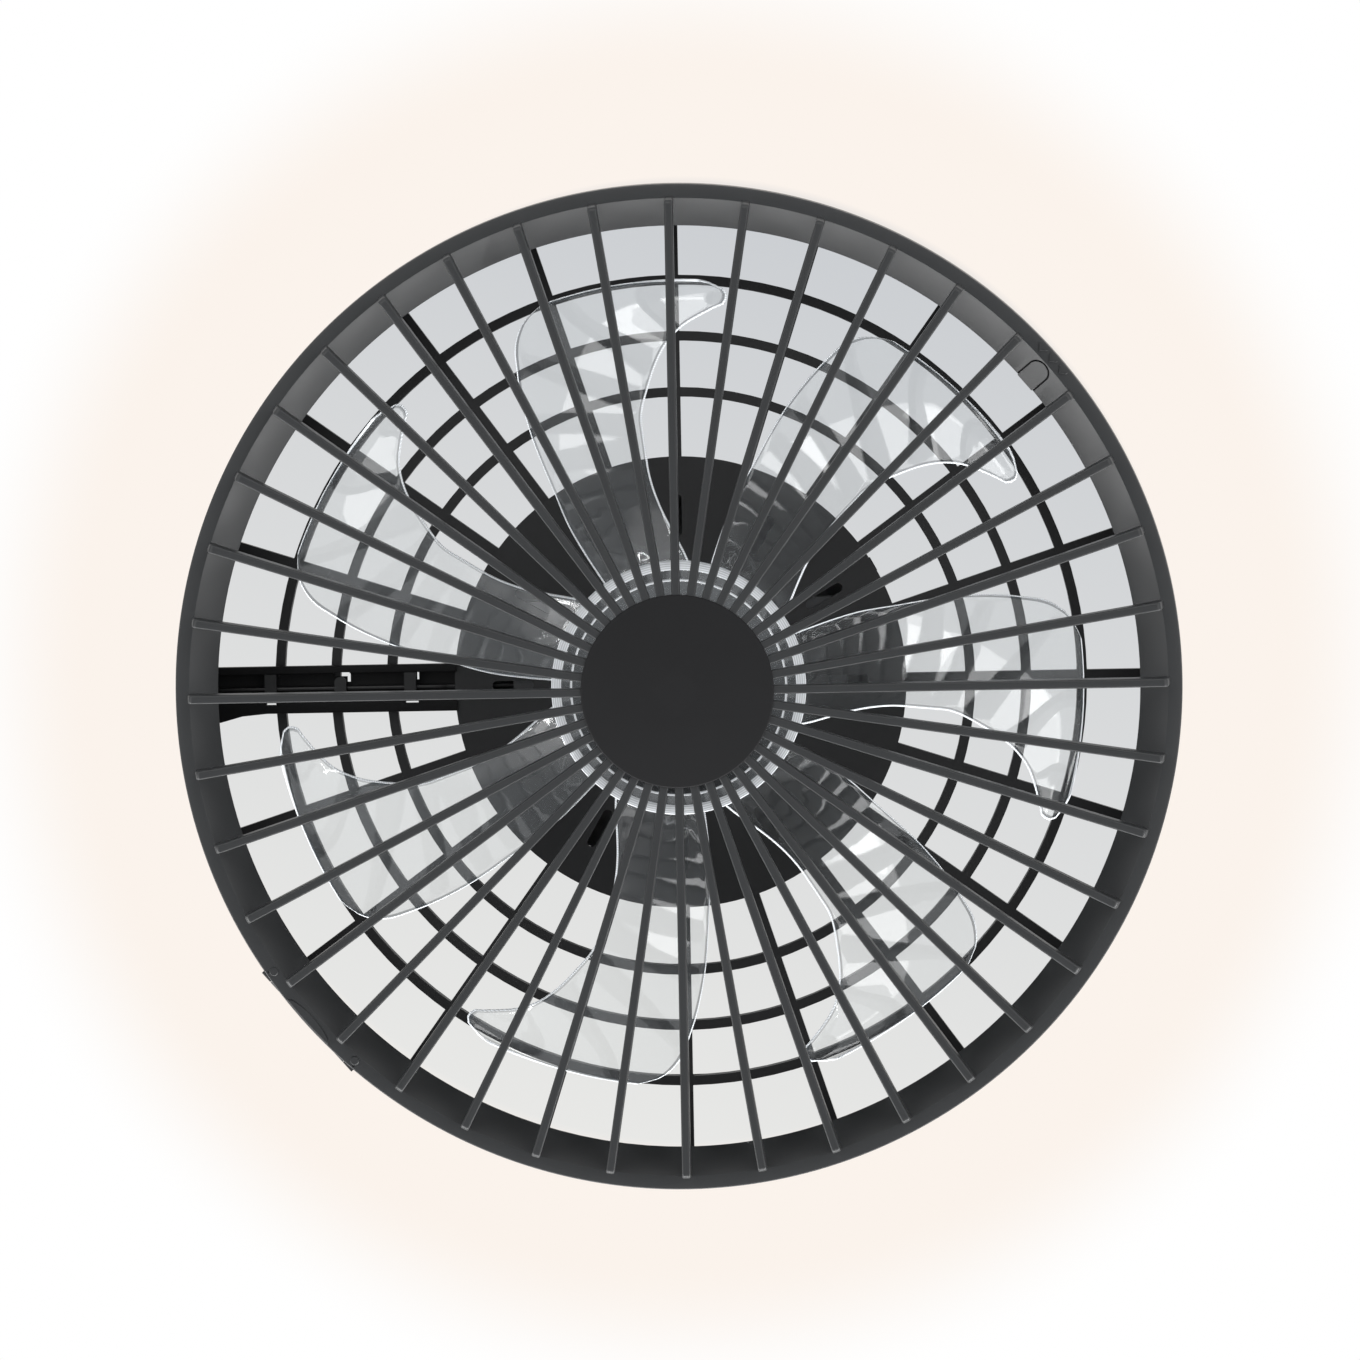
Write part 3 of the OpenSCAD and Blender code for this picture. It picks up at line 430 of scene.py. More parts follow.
def moulded_plastic(name, base, roughness, level=0.5, depth=0.02 * MM):
    """Injection-moulded plastic: satin, with the fine even grain of a spark-eroded mould.

    Such a grain is usually about 0.1 mm wide. It is drawn at 0.8 mm, because it wouldn't show otherwise.
    Sintered and varnished pieces, whose surface is much the same, are made with it too.
    """
    material, tree, output, at = new_material(name)
    grain, patch, mottle = 0.8 * MM, 45 * MM, 0.06
    fine = add_node(tree, "ShaderNodeTexNoise", {"Vector": at, "Scale": per_metre(grain), "Detail": 2.0})
    broad = add_node(tree, "ShaderNodeTexNoise", {"Vector": at, "Scale": per_metre(patch), "Detail": 3.0})
    tone = add_node(
        tree, "ShaderNodeMapRange",
        {"Value": broad.outputs["Fac"], "From Min": NOISE_LOW, "From Max": NOISE_HIGH,
         "To Min": 1 - mottle, "To Max": 1 + mottle},
    )
    tinted = add_node(
        tree, "ShaderNodeVectorMath", {0: base[:3], "Scale": tone.outputs["Result"]}, operation="SCALE",
    )
    dull = add_node(
        tree, "ShaderNodeMapRange",
        {"Value": fine.outputs["Fac"], "From Min": NOISE_LOW, "From Max": NOISE_HIGH,
         "To Min": roughness - 0.04, "To Max": roughness + 0.05},
    )
    bump = add_node(
        tree, "ShaderNodeBump", {"Height": fine.outputs["Fac"], "Distance": depth, "Strength": 1.0},
    )
    shader = add_node(
        tree, "ShaderNodeBsdfPrincipled",
        {"Base Color": tinted.outputs["Vector"], "Roughness": dull.outputs["Result"],
         "Normal": bump.outputs["Normal"], "IOR": 1.53, "Specular IOR Level": level},
    )
    tree.links.new(shader.outputs["BSDF"], output.inputs["Surface"])
    return material


def distance_from_axis(tree, at):
    """A socket with each point's distance from the fan's axis."""
    flat = add_node(tree, "ShaderNodeVectorMath", {0: at, 1: (1, 1, 0)}, operation="MULTIPLY")
    return add_node(tree, "ShaderNodeVectorMath", {0: flat.outputs[0]}, operation="LENGTH").outputs["Value"]


def clear_plastic(name, base, milk):
    """Clear moulded styrene: see-through and glossy, a little milky, with soft flow waves near the hub.

    It mirrors a little where it is seen face on, and wholly at a glance.
    """
    material, tree, output, at = new_material(name)
    wave_l, wave_h, calm, face_on = 28 * MM, 0.6 * MM, 50 * MM, 0.075
    wave = add_node(
        tree, "ShaderNodeTexNoise",
        {"Vector": at, "Scale": per_metre(wave_l), "Detail": 1.0, "Distortion": 0.8},
    )
    still = add_node(
        tree, "ShaderNodeMapRange",
        {"Value": distance_from_axis(tree, at), "From Min": HUB_R, "From Max": HUB_R + calm,
         "To Min": 1.0, "To Max": 0.12},
    )
    bump = add_node(
        tree, "ShaderNodeBump",
        {"Height": wave.outputs["Fac"], "Distance": wave_h, "Strength": still.outputs["Result"]},
    )
    facing = add_node(tree, "ShaderNodeLayerWeight", {"Blend": 0.5, "Normal": bump.outputs["Normal"]})
    grazing = add_node(tree, "ShaderNodeMath", {0: facing.outputs["Facing"], 1: 5.0}, operation="POWER")
    mirror = add_node(
        tree, "ShaderNodeMapRange", {"Value": grazing.outputs[0], "To Min": face_on, "To Max": 1.0},
    )
    clear = add_node(tree, "ShaderNodeBsdfTransparent", {"Color": (0.985, 0.99, 0.99, 1)})
    milky = add_node(tree, "ShaderNodeBsdfPrincipled", {"Base Color": base, "Roughness": 0.2, "IOR": 1.57})
    body = add_node(tree, "ShaderNodeMixShader", {0: milk, 1: clear.outputs[0], 2: milky.outputs[0]})
    shine = add_node(tree, "ShaderNodeBsdfGlossy", {"Roughness": 0.04, "Normal": bump.outputs["Normal"]})
    whole = add_node(
        tree, "ShaderNodeMixShader",
        {0: mirror.outputs["Result"], 1: body.outputs[0], 2: shine.outputs[0]},
    )
    tree.links.new(whole.outputs[0], output.inputs["Surface"])
    return material


def clear_plastic_with_painted_light(name, base, share):
    """Clear styrene with painted light on it: a share of it takes a colour that stands in for light gathered
    at an edge, white for a highlight and grey for a shade, in fine rings.

    Turning marks are usually about 0.2 mm apart. They are drawn 1.1 mm apart, because they wouldn't show
    otherwise. A wave texture repeats every pi / 10 at scale 1.
    """
    material, tree, output, at = new_material(name)
    pitch = 1.1 * MM
    rings = add_node(
        tree, "ShaderNodeTexWave",
        {"Vector": at, "Scale": pi / (10 * pitch), "Distortion": 0.4, "Detail": 1.0},
        wave_type="RINGS", rings_direction="Z",
    )
    tone = add_node(
        tree, "ShaderNodeMapRange", {"Value": rings.outputs["Fac"], "To Min": 0.62, "To Max": 1.0},
    )
    tinted = add_node(
        tree, "ShaderNodeVectorMath", {0: base[:3], "Scale": tone.outputs["Result"]}, operation="SCALE",
    )
    clear = add_node(tree, "ShaderNodeBsdfTransparent")
    white = add_node(
        tree, "ShaderNodeBsdfPrincipled",
        {"Base Color": tinted.outputs["Vector"], "Roughness": 0.25, "IOR": 1.57},
    )
    whole = add_node(tree, "ShaderNodeMixShader", {0: share, 1: clear.outputs[0], 2: white.outputs[0]})
    tree.links.new(whole.outputs[0], output.inputs["Surface"])
    return material


def bare_metal(name, base, roughness):
    """Plated, pressed or drawn metal: reflections in its own colour, and a faint cloudy spangle."""
    material, tree, output, at = new_material(name)
    spangle = 3 * MM
    cloud = add_node(tree, "ShaderNodeTexNoise", {"Vector": at, "Scale": per_metre(spangle), "Detail": 4.0})
    dull = add_node(
        tree, "ShaderNodeMapRange",
        {"Value": cloud.outputs["Fac"], "From Min": NOISE_LOW, "From Max": NOISE_HIGH,
         "To Min": roughness - 0.08, "To Max": roughness + 0.1},
    )
    shader = add_node(
        tree, "ShaderNodeBsdfPrincipled",
        {"Base Color": base, "Metallic": 1.0, "Roughness": dull.outputs["Result"]},
    )
    tree.links.new(shader.outputs["BSDF"], output.inputs["Surface"])
    return material


def opal_plastic(name, base, glow, strength):
    """Opal acrylic or phosphor, lit from inside: milky, soft, with a warm even glow."""
    material, tree, output, at = new_material(name)
    patch = 12 * MM
    haze = add_node(tree, "ShaderNodeTexNoise", {"Vector": at, "Scale": per_metre(patch), "Detail": 2.0})
    level = add_node(
        tree, "ShaderNodeMapRange",
        {"Value": haze.outputs["Fac"], "To Min": strength * 0.9, "To Max": strength * 1.1},
    )
    shader = add_node(
        tree, "ShaderNodeBsdfPrincipled",
        {"Base Color": base, "Roughness": 0.35, "Subsurface Weight": 0.3, "Subsurface Scale": 3 * MM,
         "Emission Color": glow, "Emission Strength": level.outputs["Result"]},
    )
    tree.links.new(shader.outputs["BSDF"], output.inputs["Surface"])
    return material


# ---------------------------------------------------------------- front guard

def rim_outline(g):
    """The rim's section: a drafted skirt, an almost flat face and a lip that runs in and up."""
    z_rim = Z_RIBS + g.rim_back
    z_top = z_rim + g.rim_h
    rim_r = FAN_R - g.rim_w
    lip_r, z_lip = rim_r - g.lip_w, z_rim + g.lip_h
    slant = sqrt(g.lip_w ** 2 + g.lip_h ** 2)
    lip_n = Vector((g.lip_h, g.lip_w)) / slant
    face_w = g.rim_w - g.draft
    face_n = Vector((-g.rim_fall, face_w)).normalized()
    det = lip_n.x * face_n.y - lip_n.y * face_n.x
    inside = (
        rim_r + g.skin_t * (face_n.y - lip_n.y) / det,
        z_rim + g.skin_t * (lip_n.x - face_n.x) / det,
    )
    skirt_in = FAN_R - g.skin_t
    z_skirt = inside[1] + (skirt_in - inside[0]) * g.rim_fall / face_w
    return rounded([
        (FAN_R, z_top, 0.3 * MM), (FAN_R - g.draft, z_rim + g.rim_fall, 0.8 * MM),
        (rim_r, z_rim, 0.5 * MM),
        (lip_r, z_lip, 0.4 * MM), (lip_r + g.skin_t / lip_n.x, z_lip, 0.5 * MM), (*inside, 0.5 * MM),
        (skirt_in, z_skirt, 0.8 * MM), (skirt_in, z_top, 0.3 * MM),
    ])


def rib(g):
    """One rib along +X: a deep plate with a flat front, small rounds along it, and a round end.

    It starts within the hub cup's wall, and its foot ends within the rim's.
    """
    start = DISC_R - g.cup_t / 2
    rim_r, z_rim = FAN_R - g.rim_w, Z_RIBS + g.rim_back
    end, slope, steps = rim_r - 1.5 * MM, 6 * MM, 8
    front = [(start, Z_RIBS)]
    for k in range(steps + 1):
        a = radians(-90 + 80 * k / steps)
        front.append((end + g.rib_end_r * (cos(a) - 1), Z_RIBS + g.rib_end_r * (1 + sin(a))))
    foot = (rim_r + 0.9 * MM, z_rim + 0.8 * MM)
    back = [
        foot, (end, z_rim + 3.6 * MM), (rim_r - slope, Z_RIBS + g.rib_rim_depth),
        (start, Z_RIBS + g.rib_hub_depth),
    ]
    mesh = bmesh.new()
    outline = front + back
    sides = [[mesh.verts.new((x, y, z)) for x, z in outline] for y in (-g.rib_t / 2, g.rib_t / 2)]
    for side in sides:
        mesh.faces.new(side)
    for i in range(len(outline)):
        mesh.faces.new((sides[0][i - 1], sides[0][i], sides[1][i], sides[1][i - 1]))
    bmesh.ops.recalc_face_normals(mesh, faces=mesh.faces)
    nose = [mesh.edges.get((side[i], side[i + 1])) for side in sides for i in range(len(front))]
    return eased(mesh, nose, g.rib_round, segments=3, profile=0.5)


def on_lip(g):
    """A frame on the lip at the latch: x runs down the lip to the rim, z out of its back."""
    lip_r, z_lip = FAN_R - g.rim_w - g.lip_w, Z_RIBS + g.rim_back + g.lip_h
    return (
        Matrix.Rotation(g.latch_ang, 4, "Z") @ Matrix.Translation((lip_r, 0, z_lip))
        @ Matrix.Rotation(atan2(g.lip_h, g.lip_w), 4, "Y")
    )


def on_rim(g, a, r):
    """A frame on the rim's face: x runs outward along it, z into it."""
    rim_r, z_rim = FAN_R - g.rim_w, Z_RIBS + g.rim_back
    fall = g.rim_fall / (g.rim_w - g.draft)
    return (
        Matrix.Rotation(a, 4, "Z") @ Matrix.Translation((r, 0, z_rim + (r - rim_r) * fall))
        @ Matrix.Rotation(-atan2(fall, 1), 4, "Y")
    )


def on_hinge():
    """A frame on the hinge line: x runs outward, y along the rim, z up."""
    reach = HINGE_AT.xy.length
    a = atan2(HINGE_AT.y, HINGE_AT.x)
    return Matrix.Rotation(a, 4, "Z") @ Matrix.Translation((reach, 0, HINGE_AT.z)), a


def tongue_plate(g, gap, start, low, high, travel=0.0):
    """A plate on the lip, round at its rim end: the tongue, with a gap all round and room for its travel."""
    half = g.tongue_w / 2 + gap
    end = sqrt(g.lip_w ** 2 + g.lip_h ** 2) - g.tongue_end + gap + travel - half
    outline = [(start, -half), *arc(half, -pi / 2, pi / 2, 24, (end, 0)), (start, half)]
    return moved(plate(outline, low, high), on_lip(g))


def latch_slot(g):
    """What is cut out of the lip round the tongue: a close slot right through, and a wide groove in front.

    The slot starts outside the lip and the groove inside it, and both reach out in front of it, so that none
    of their faces lies in one of the lip's.
    """
    play, travel, clear = 0.06 * MM, 0.85 * MM, 11 * MM
    groove_start, groove_depth = 1.2 * MM, 1 * MM
    slot = tongue_plate(g, play, -clear, -1 * MM, g.skin_t + 3 * MM, travel)
    groove = tongue_plate(g, g.tongue_gap, groove_start, -2 * MM, groove_depth)
    return combine(slot, groove, "UNION")


def build_tongue(g):
    """The latch: the tongue that is pressed, and the arm behind it, whose nose holds on the housing."""
    tongue = tongue_plate(g, 0, 0.05 * MM, 0, g.skin_t)
    eased(tongue, tongue.edges[:], 0.12 * MM)
    half, top, reach = g.tongue_w / 2, height_range("latch_tongue")[1], radius_range("latch_tongue")[1]
    arm_r, z_foot = FAN_R - g.rim_w - g.lip_w + 1.7 * MM, Z_RIBS + g.rim_back + g.lip_h - 0.5 * MM
    arm_back, z_nose = arm_r + g.arm_t, top - 2.2 * MM
    section = rounded([
        (z_foot, arm_r, 0), (z_foot, arm_back, 0), (z_nose, arm_back, 0.4 * MM),
        (z_nose, reach - 0.2 * MM, 0.3 * MM), (top, arm_back, 0.5 * MM), (top, arm_r, 0.3 * MM),
    ])
    upright = Matrix(((0, 1, 0, 0), (0, 0, 1, 0), (1, 0, 0, 0), (0, 0, 0, 1)))
    arm = turned(moved(plate(section, -half, half), upright), g.latch_ang)
    return combine(tongue, arm, "UNION")


def paint_groove_shade(g, piece, finish):
    """Paints shade on the walls and the floor of the groove round the latch tongue: they get their own
    near-black finish, a painted shade.
    """
    piece.data.materials.append(finish)
    to_lip = on_lip(g).inverted()
    edge, beside = 0.3 * MM, g.tongue_w / 2 + MM
    reach = sqrt(g.lip_w ** 2 + g.lip_h ** 2) - g.tongue_end + MM
    for face in piece.data.polygons:
        at = to_lip @ face.center
        if edge < at.z < g.skin_t - edge and 0.4 * MM < at.x < reach and abs(at.y) < beside:
            face.material_index = 1


def knuckle(g, side):
    """A hinge knuckle on its foot, with the hole for its pin."""
    r, toe, z_foot = g.knuckle_r, 0.5 * MM, Z_RIBS + g.rim_back + g.skin_t - HINGE_AT.z
    start = -pi / 2 - atan2(toe, sqrt(r * r - toe * toe))
    outline = [(-r, z_foot), (-toe, z_foot), *arc(r, start, pi, 24)]
    near, far = g.knuckle_near * side, (g.knuckle_near + g.knuckle_l) * side
    low, high = min(near, far), max(near, far)
    body = plate(outline, low, high)
    hole = plate(arc(g.pin_r, 0, 2 * pi * 31 / 32, 31), low - MM, high + MM)
    upright = Matrix.Rotation(pi / 2, 4, "X")
    return moved(combine(body, hole, "DIFFERENCE"), on_hinge()[0] @ upright)


def raised(g, outline, a, r):
    """A flat mark with sloping sides that stands a little proud of the rim's face."""
    mark = plate(outline, -g.mark_h, 0.6 * MM)
    front = [edge for edge in mark.edges if all(vertex.co.z < 0 for vertex in edge.verts)]
    return moved(eased(mark, front, 0.42 * MM, segments=1), on_rim(g, a, r))


def rim_marks(g):
    """Three chevrons that point at the latch, and the pads over the hinge."""
    marks = bmesh.new()
    h, w, t, r_mid = 3.8 * MM, 5.6 * MM, 1.1 * MM, FAN_R - 4.7 * MM
    spacing, swell_w, boss_r = 7.4 * MM, 4.4 * MM, 2.3 * MM
    chevron = [
        (-h / 2, 0), (h / 2 - t, -w / 2), (h / 2, -w / 2), (t - h / 2, 0), (h / 2, w / 2), (h / 2 - t, w / 2),
    ]
    for k in (-1, 0, 1):
        pour(raised(g, chevron, g.latch_ang + k * spacing / r_mid, r_mid), marks)
    middle, pad_r, pad_l, boss_a = on_hinge()[1], FAN_R - 1.9 * MM, 31 * MM, radians(7)
    edge = arc(pad_r, -pad_l / 2 / pad_r, pad_l / 2 / pad_r, 16)
    swell = [(x - swell_w * sqrt(sin(pi * k / 16)), y) for k, (x, y) in enumerate(edge)]
    pad = [(x - r_mid, y) for x, y in edge + swell[-2:0:-1]]
    pour(raised(g, pad, middle, r_mid), marks)
    for side in (-1, 1):
        boss = arc(boss_r, 0, 2 * pi * 23 / 24, 23)
        pour(raised(g, boss, middle + side * boss_a, FAN_R - 5.2 * MM), marks)
    return marks


def rim_pits(g):
    """Two small pits in the rim's face, beside the bosses over the hinge."""
    pits, middle, pit_a = bmesh.new(), on_hinge()[1], radians(7.3)
    pit_r, depth = 0.7 * MM, 1.2 * MM
    for side in (-1, 1):
        pit = plate(arc(pit_r, 0, 2 * pi * 15 / 16, 15), -MM, depth)
        pour(moved(pit, on_rim(g, middle + side * pit_a, FAN_R - 2.8 * MM)), pits)
    return pits


def build_guard(g):
    """The guard as one moulding: rim, ribs and hub cup."""
    inward, outward, cup_floor = g.knuckle_r + 0.8 * MM, 8 * MM, 2 * MM
    notch = block((-inward, -g.notch_l / 2, -inward), (outward, g.notch_l / 2, outward))
    cuts = moved(notch, on_hinge()[0])
    pour(latch_slot(g), cuts)
    pour(rim_pits(g), cuts)
    guard = combine(lathe(rim_outline(g)), cuts, "DIFFERENCE")
    added = rim_marks(g)
    for side in (-1, 1):
        pour(knuckle(g, side), added)
    guard = combine(guard, added, "UNION")
    ribs = bmesh.new()
    for k in range(g.rib_count):
        pour(turned(rib(g), g.rib_start + 2 * pi * k / g.rib_count), ribs)
    guard = combine(guard, ribs, "UNION")
    z_cup = Z_RIBS + g.cup_h
    cup = lathe(rounded([
        (DISC_R - g.cup_t, Z_RIBS, 0.3 * MM), (DISC_R, Z_RIBS, 0.3 * MM), (DISC_R, z_cup, 1 * MM),
        (0, z_cup, 0), (0, z_cup - cup_floor, 0), (DISC_R - g.cup_t, z_cup - cup_floor, 1 * MM),
    ]))
    return combine(guard, cup, "UNION")


def disc_outline(g):
    """The centre disc's section: a flat face, and a wall that clips into the hub cup."""
    z_back, z_inside, z_wall = Z_RIBS - 0.02 * MM, Z_RIBS + 0.6 * MM, Z_RIBS + 6 * MM
    outer = DISC_R - g.cup_t - 0.3 * MM
    inner = outer - 1.8 * MM
    return rounded([
        (0, Z_FRONT, 0), (DISC_R, Z_FRONT, 0.8 * MM), (DISC_R, z_back, 0.2 * MM), (outer, z_back, 0),
        (outer, z_wall, 0.4 * MM), (inner, z_wall, 0.4 * MM), (inner, z_inside, 0.5 * MM), (0, z_inside, 0),
    ])


class FAN_OT_guard(bpy.types.Operator):
    """Builds the guard, its centre disc and its latch"""
    bl_idname = "fan.guard"
    bl_label = "Front guard"

    def execute(self, context):
        sizes, finish = context.scene.fan_guard, context.scene.fan_finishes
        # Lightly eroded ABS: a satin black that turns grey where light grazes it.
        black = moulded_plastic("moulded_ABS_black", finish.guard, 0.38, level=0.32, depth=0.006 * MM)
        # More deeply eroded ABS: an even matt black with hardly any shine.
        matt = moulded_plastic("moulded_ABS_matt", finish.disc, 0.58, level=0.12)
        # Painted shade: little light comes back out of a narrow groove, so its walls and floor get a
        # near-black finish that stands in for the shade in it.
        groove = moulded_plastic("painted_shade_in_groove", finish.duct, 0.8, level=0.1)
        guard = place("guard", build_guard(sizes), black, "guard", ["front_guard"])
        paint_groove_shade(sizes, guard, groove)
        place("centre_disc", lathe(disc_outline(sizes)), matt, "guard", ["hub_cap"])
        latch = place("latch", build_tongue(sizes), black, "latch", ["latch_tongue"])
        paint_groove_shade(sizes, latch, groove)
        return {"FINISHED"}


# ---------------------------------------------------------------- impeller

BLADE_NAMES = [f"blade_{i}" for i in range(1, 8)]
# A blade's two edges: the share of the way from hub to tip, and the degrees round the axis there.
LEAD_EDGE = [
    (0, 44), (0.231, 42.3), (0.374, 40.2), (0.609, 37.6), (0.808, 34.6), (0.929, 32),
    (0.979, 29.2), (1, 26.5),
]
TRAIL_EDGE = [
    (0, 2.4), (0.117, 9.5), (0.217, 13.2), (0.359, 14.9), (0.495, 14.9), (0.623, 12.8),
    (0.822, 7), (0.907, 1.4), (0.929, 0), (0.957, 0), (0.986, 1.8), (1, 4.5),
]


def smooth_value(table, x):
    """The value at x of a smooth curve through the table's points, flat where they turn back."""
    slopes = [(b[1] - a[1]) / (b[0] - a[0]) for a, b in zip(table, table[1:])]
    ends = [slopes[0]] + [(p + q) / 2 if p * q > 0 else 0.0 for p, q in zip(slopes, slopes[1:])]
    ends.append(slopes[-1])
    i = max(0, min(len(slopes) - 1, sum(x > row[0] for row in table) - 1))
    (x0, y0), (x1, y1) = table[i], table[i + 1]
    h = x1 - x0
    t = min(1.0, max(0.0, (x - x0) / h))
    return (
        y0 * (1 + 2 * t) * (1 - t) ** 2 + y1 * t * t * (3 - 2 * t)
        + h * (ends[i] * t * (1 - t) ** 2 - ends[i + 1] * t * t * (1 - t))
    )


def edge_spaced(count, border):
    """Shares from 0 to 1, evenly spaced but for a few close to each end, to round the border."""
    near = [border * (1 - cos(radians(a))) for a in (0, 25, 50, 70, 90)]
    inner = [border + (1 - 2 * border) * k / count for k in range(1, count)]
    return near + inner + [1 - n for n in reversed(near)]


def blade_point(s, root_r, across, f, t):
    """A point of the blade's middle surface, at the shares f of its length and t of its chord."""
    a = -radians(smooth_value(TRAIL_EDGE, f) * (1 - t) + smooth_value(LEAD_EDGE, f) * t)
    r = root_r + f * across
    rise = s.pitch_hub + (s.pitch_tip - s.pitch_hub) * f
    # The low edge lifts by a share of what the rise loses, and the bow grows towards the tip.
    clear, lift, bow_at_hub = 3.2 * MM, 0.45, 0.4
    low = Z_HUB + clear + (s.pitch_hub - rise) * lift
    bow = s.camber * (bow_at_hub + (1 - bow_at_hub) * f)
    z = low + rise * t + bow * 4 * t * (1 - t)
    return Vector((r * cos(a), r * sin(a), z))


def build_blade(s, turn):
    """One blade: a bowed, twisted skin, rooted in the hub's wall, whose border is rounded off.

    Its outermost two strips of faces take a painted highlight, the bright border, and the next two a painted
    shade, the thin grey line inside it.
    """
    root_r = HUB_R - 0.9 * MM
    across = TIP_R - root_r
    half, round_w, chord = s.blade_t / 2, s.edge_w, 60 * MM
    lengthwise, crosswise = edge_spaced(56, round_w / across), edge_spaced(22, round_w / chord)
    mesh = bmesh.new()
    mids = [[blade_point(s, root_r, across, f, t) for t in crosswise] for f in lengthwise]
    n, m = len(mids), len(mids[0])

    def shrink(share, border):
        """How much of its thickness the blade keeps there."""
        edge = min(share, 1 - share) / border
        return 1.0 if edge >= 1 else sqrt(max(0.0, 1 - (1 - edge) ** 2))

    skins = []
    for side in (-1, 1):
        skin = []
        for j in range(n):
            row = []
            for k in range(m):
                down = mids[min(j + 1, n - 1)][k] - mids[max(j - 1, 0)][k]
                over = mids[j][min(k + 1, m - 1)] - mids[j][max(k - 1, 0)]
                normal = over.cross(down).normalized()
                thick = half * shrink(lengthwise[j], round_w / across)
                thick *= shrink(crosswise[k], round_w / chord)
                on_border = j in (0, n - 1) or k in (0, m - 1)
                if on_border and side == 1:
                    row.append(skins[0][j][k])
                else:
                    row.append(mesh.verts.new(mids[j][k] + normal * side * thick))
            skin.append(row)
        skins.append(skin)
    for skin, flip in zip(skins, (False, True)):
        for j in range(n - 1):
            for k in range(m - 1):
                corners = [skin[j][k], skin[j + 1][k], skin[j + 1][k + 1], skin[j][k + 1]]
                face = mesh.faces.new(reversed(corners) if flip else corners)
                border = min(k, m - 2 - k, n - 2 - j)
                # 1 is the painted highlight on the border, 2 the painted shade inside it, 0 the clear blade.
                face.material_index = 1 if border < 2 else 2 if border < 4 else 0
    bmesh.ops.recalc_face_normals(mesh, faces=mesh.faces)
    return turned(mesh, turn)


def hub_outline(s):
    """The clear hub's section: a cup with a ring and a thin ridge on its face, and a boss on the shaft."""
    t, boss, dish = s.hub_t, 12 * MM, s.ridge_r - 14 * MM
    ridge, ring = s.ridge_r + s.ridge_w, HUB_R - s.ring_w
    z_ridge, z_face, z_dish = Z_HUB + 0.3 * MM, Z_HUB + 1.8 * MM, Z_HUB + 6 * MM
    z_boss, z_boss_top = Z_HUB + 11 * MM, Z_HUB_TOP - 8 * MM
    z_web = z_boss + 3 * MM
    return rounded([
        (HUB_INNER_R, z_boss, 0.2 * MM), (boss, z_boss, 0.8 * MM), (boss, z_web, 0),
        (dish, z_dish, 2 * MM), (s.ridge_r, z_face, 0.3 * MM),
        (s.ridge_r, z_ridge, 0.2 * MM), (ridge, z_ridge, 0.2 * MM), (ridge, z_face, 0.2 * MM),
        (ring, z_face, 0.2 * MM), (ring, Z_HUB, 0.2 * MM),
        (HUB_R, Z_HUB, 0.6 * MM), (HUB_R, Z_HUB_TOP, 0.3 * MM), (HUB_R - t, Z_HUB_TOP, 0.3 * MM),
        (HUB_R - t, z_face + t, 1 * MM), (s.ridge_r, z_face + t, 1 * MM),
        (dish + MM, z_dish + t, 2 * MM), (boss, z_web + t, 0.5 * MM),
        (boss, z_boss_top, 0.5 * MM), (HUB_INNER_R, z_boss_top, 0.3 * MM),
    ])


class FAN_OT_impeller(bpy.types.Operator):
    """Builds the clear blades and their hub"""
    bl_idname = "fan.impeller"
    bl_label = "Impeller"

    def execute(self, context):
        sizes, finish = context.scene.fan_impeller, context.scene.fan_finishes
        # Thin moulded styrene: the eye sees through it, and catches lamps and flow waves on it.
        clear = clear_plastic("moulded_clear_styrene", finish.clear, 0.02)
        # The hub's wall is thicker, so it looks a little milkier.
        thick = clear_plastic("thick_clear_styrene", finish.clear, 0.05)
        # Painted highlight: the rounded border gets a whitish finish, a bright line that stands in for the
        # light which runs inside the blade and comes out there.
        edge = clear_plastic_with_painted_light("painted_highlight_on_blade_edge", finish.bright, 0.9)
        # Painted shade: just inside it a grey finish, a thin line that stands in for the border bending light
        # away from the eye.
        shade = clear_plastic_with_painted_light("painted_shade_inside_blade_edge", finish.edge_shade, 0.4)
        # Painted highlight: the turned ring and ridge on the hub's face get a whitish finish, in fine rings
        # from turning, which stands in for the light they gather.
        ring = clear_plastic_with_painted_light("painted_highlight_on_hub_ring", finish.bright, 0.75)
        for i, node in enumerate(BLADE_NAMES):
            turn = sizes.blade_start - i * 2 * pi / len(BLADE_NAMES)
            skin = build_blade(sizes, turn)
            blade = place(f"clear_{node}", skin, clear, "impeller", [node], sharp=60)
            blade.data.materials.append(edge)
            blade.data.materials.append(shade)
        hub = lathe(hub_outline(sizes))
        # The ring and the ridge on the hub's face take the painted highlight.
        for face in hub.faces:
            middle = face.calc_center_median()
            proud = middle.z < Z_HUB + 0.6 * MM and middle.xy.length > sizes.ridge_r - MM
            face.material_index = int(proud)
        hub = place("clear_hub", hub, thick, "impeller", ["impeller_hub"])
        hub.data.materials.append(ring)
        return {"FINISHED"}


# ---------------------------------------------------------------- housing, light ring and works

# A section drawn across and up, run along x.
ALONG_X = Matrix(((0, 0, 1, 0), (1, 0, 0, 0), (0, 1, 0, 0), (0, 0, 0, 1)))


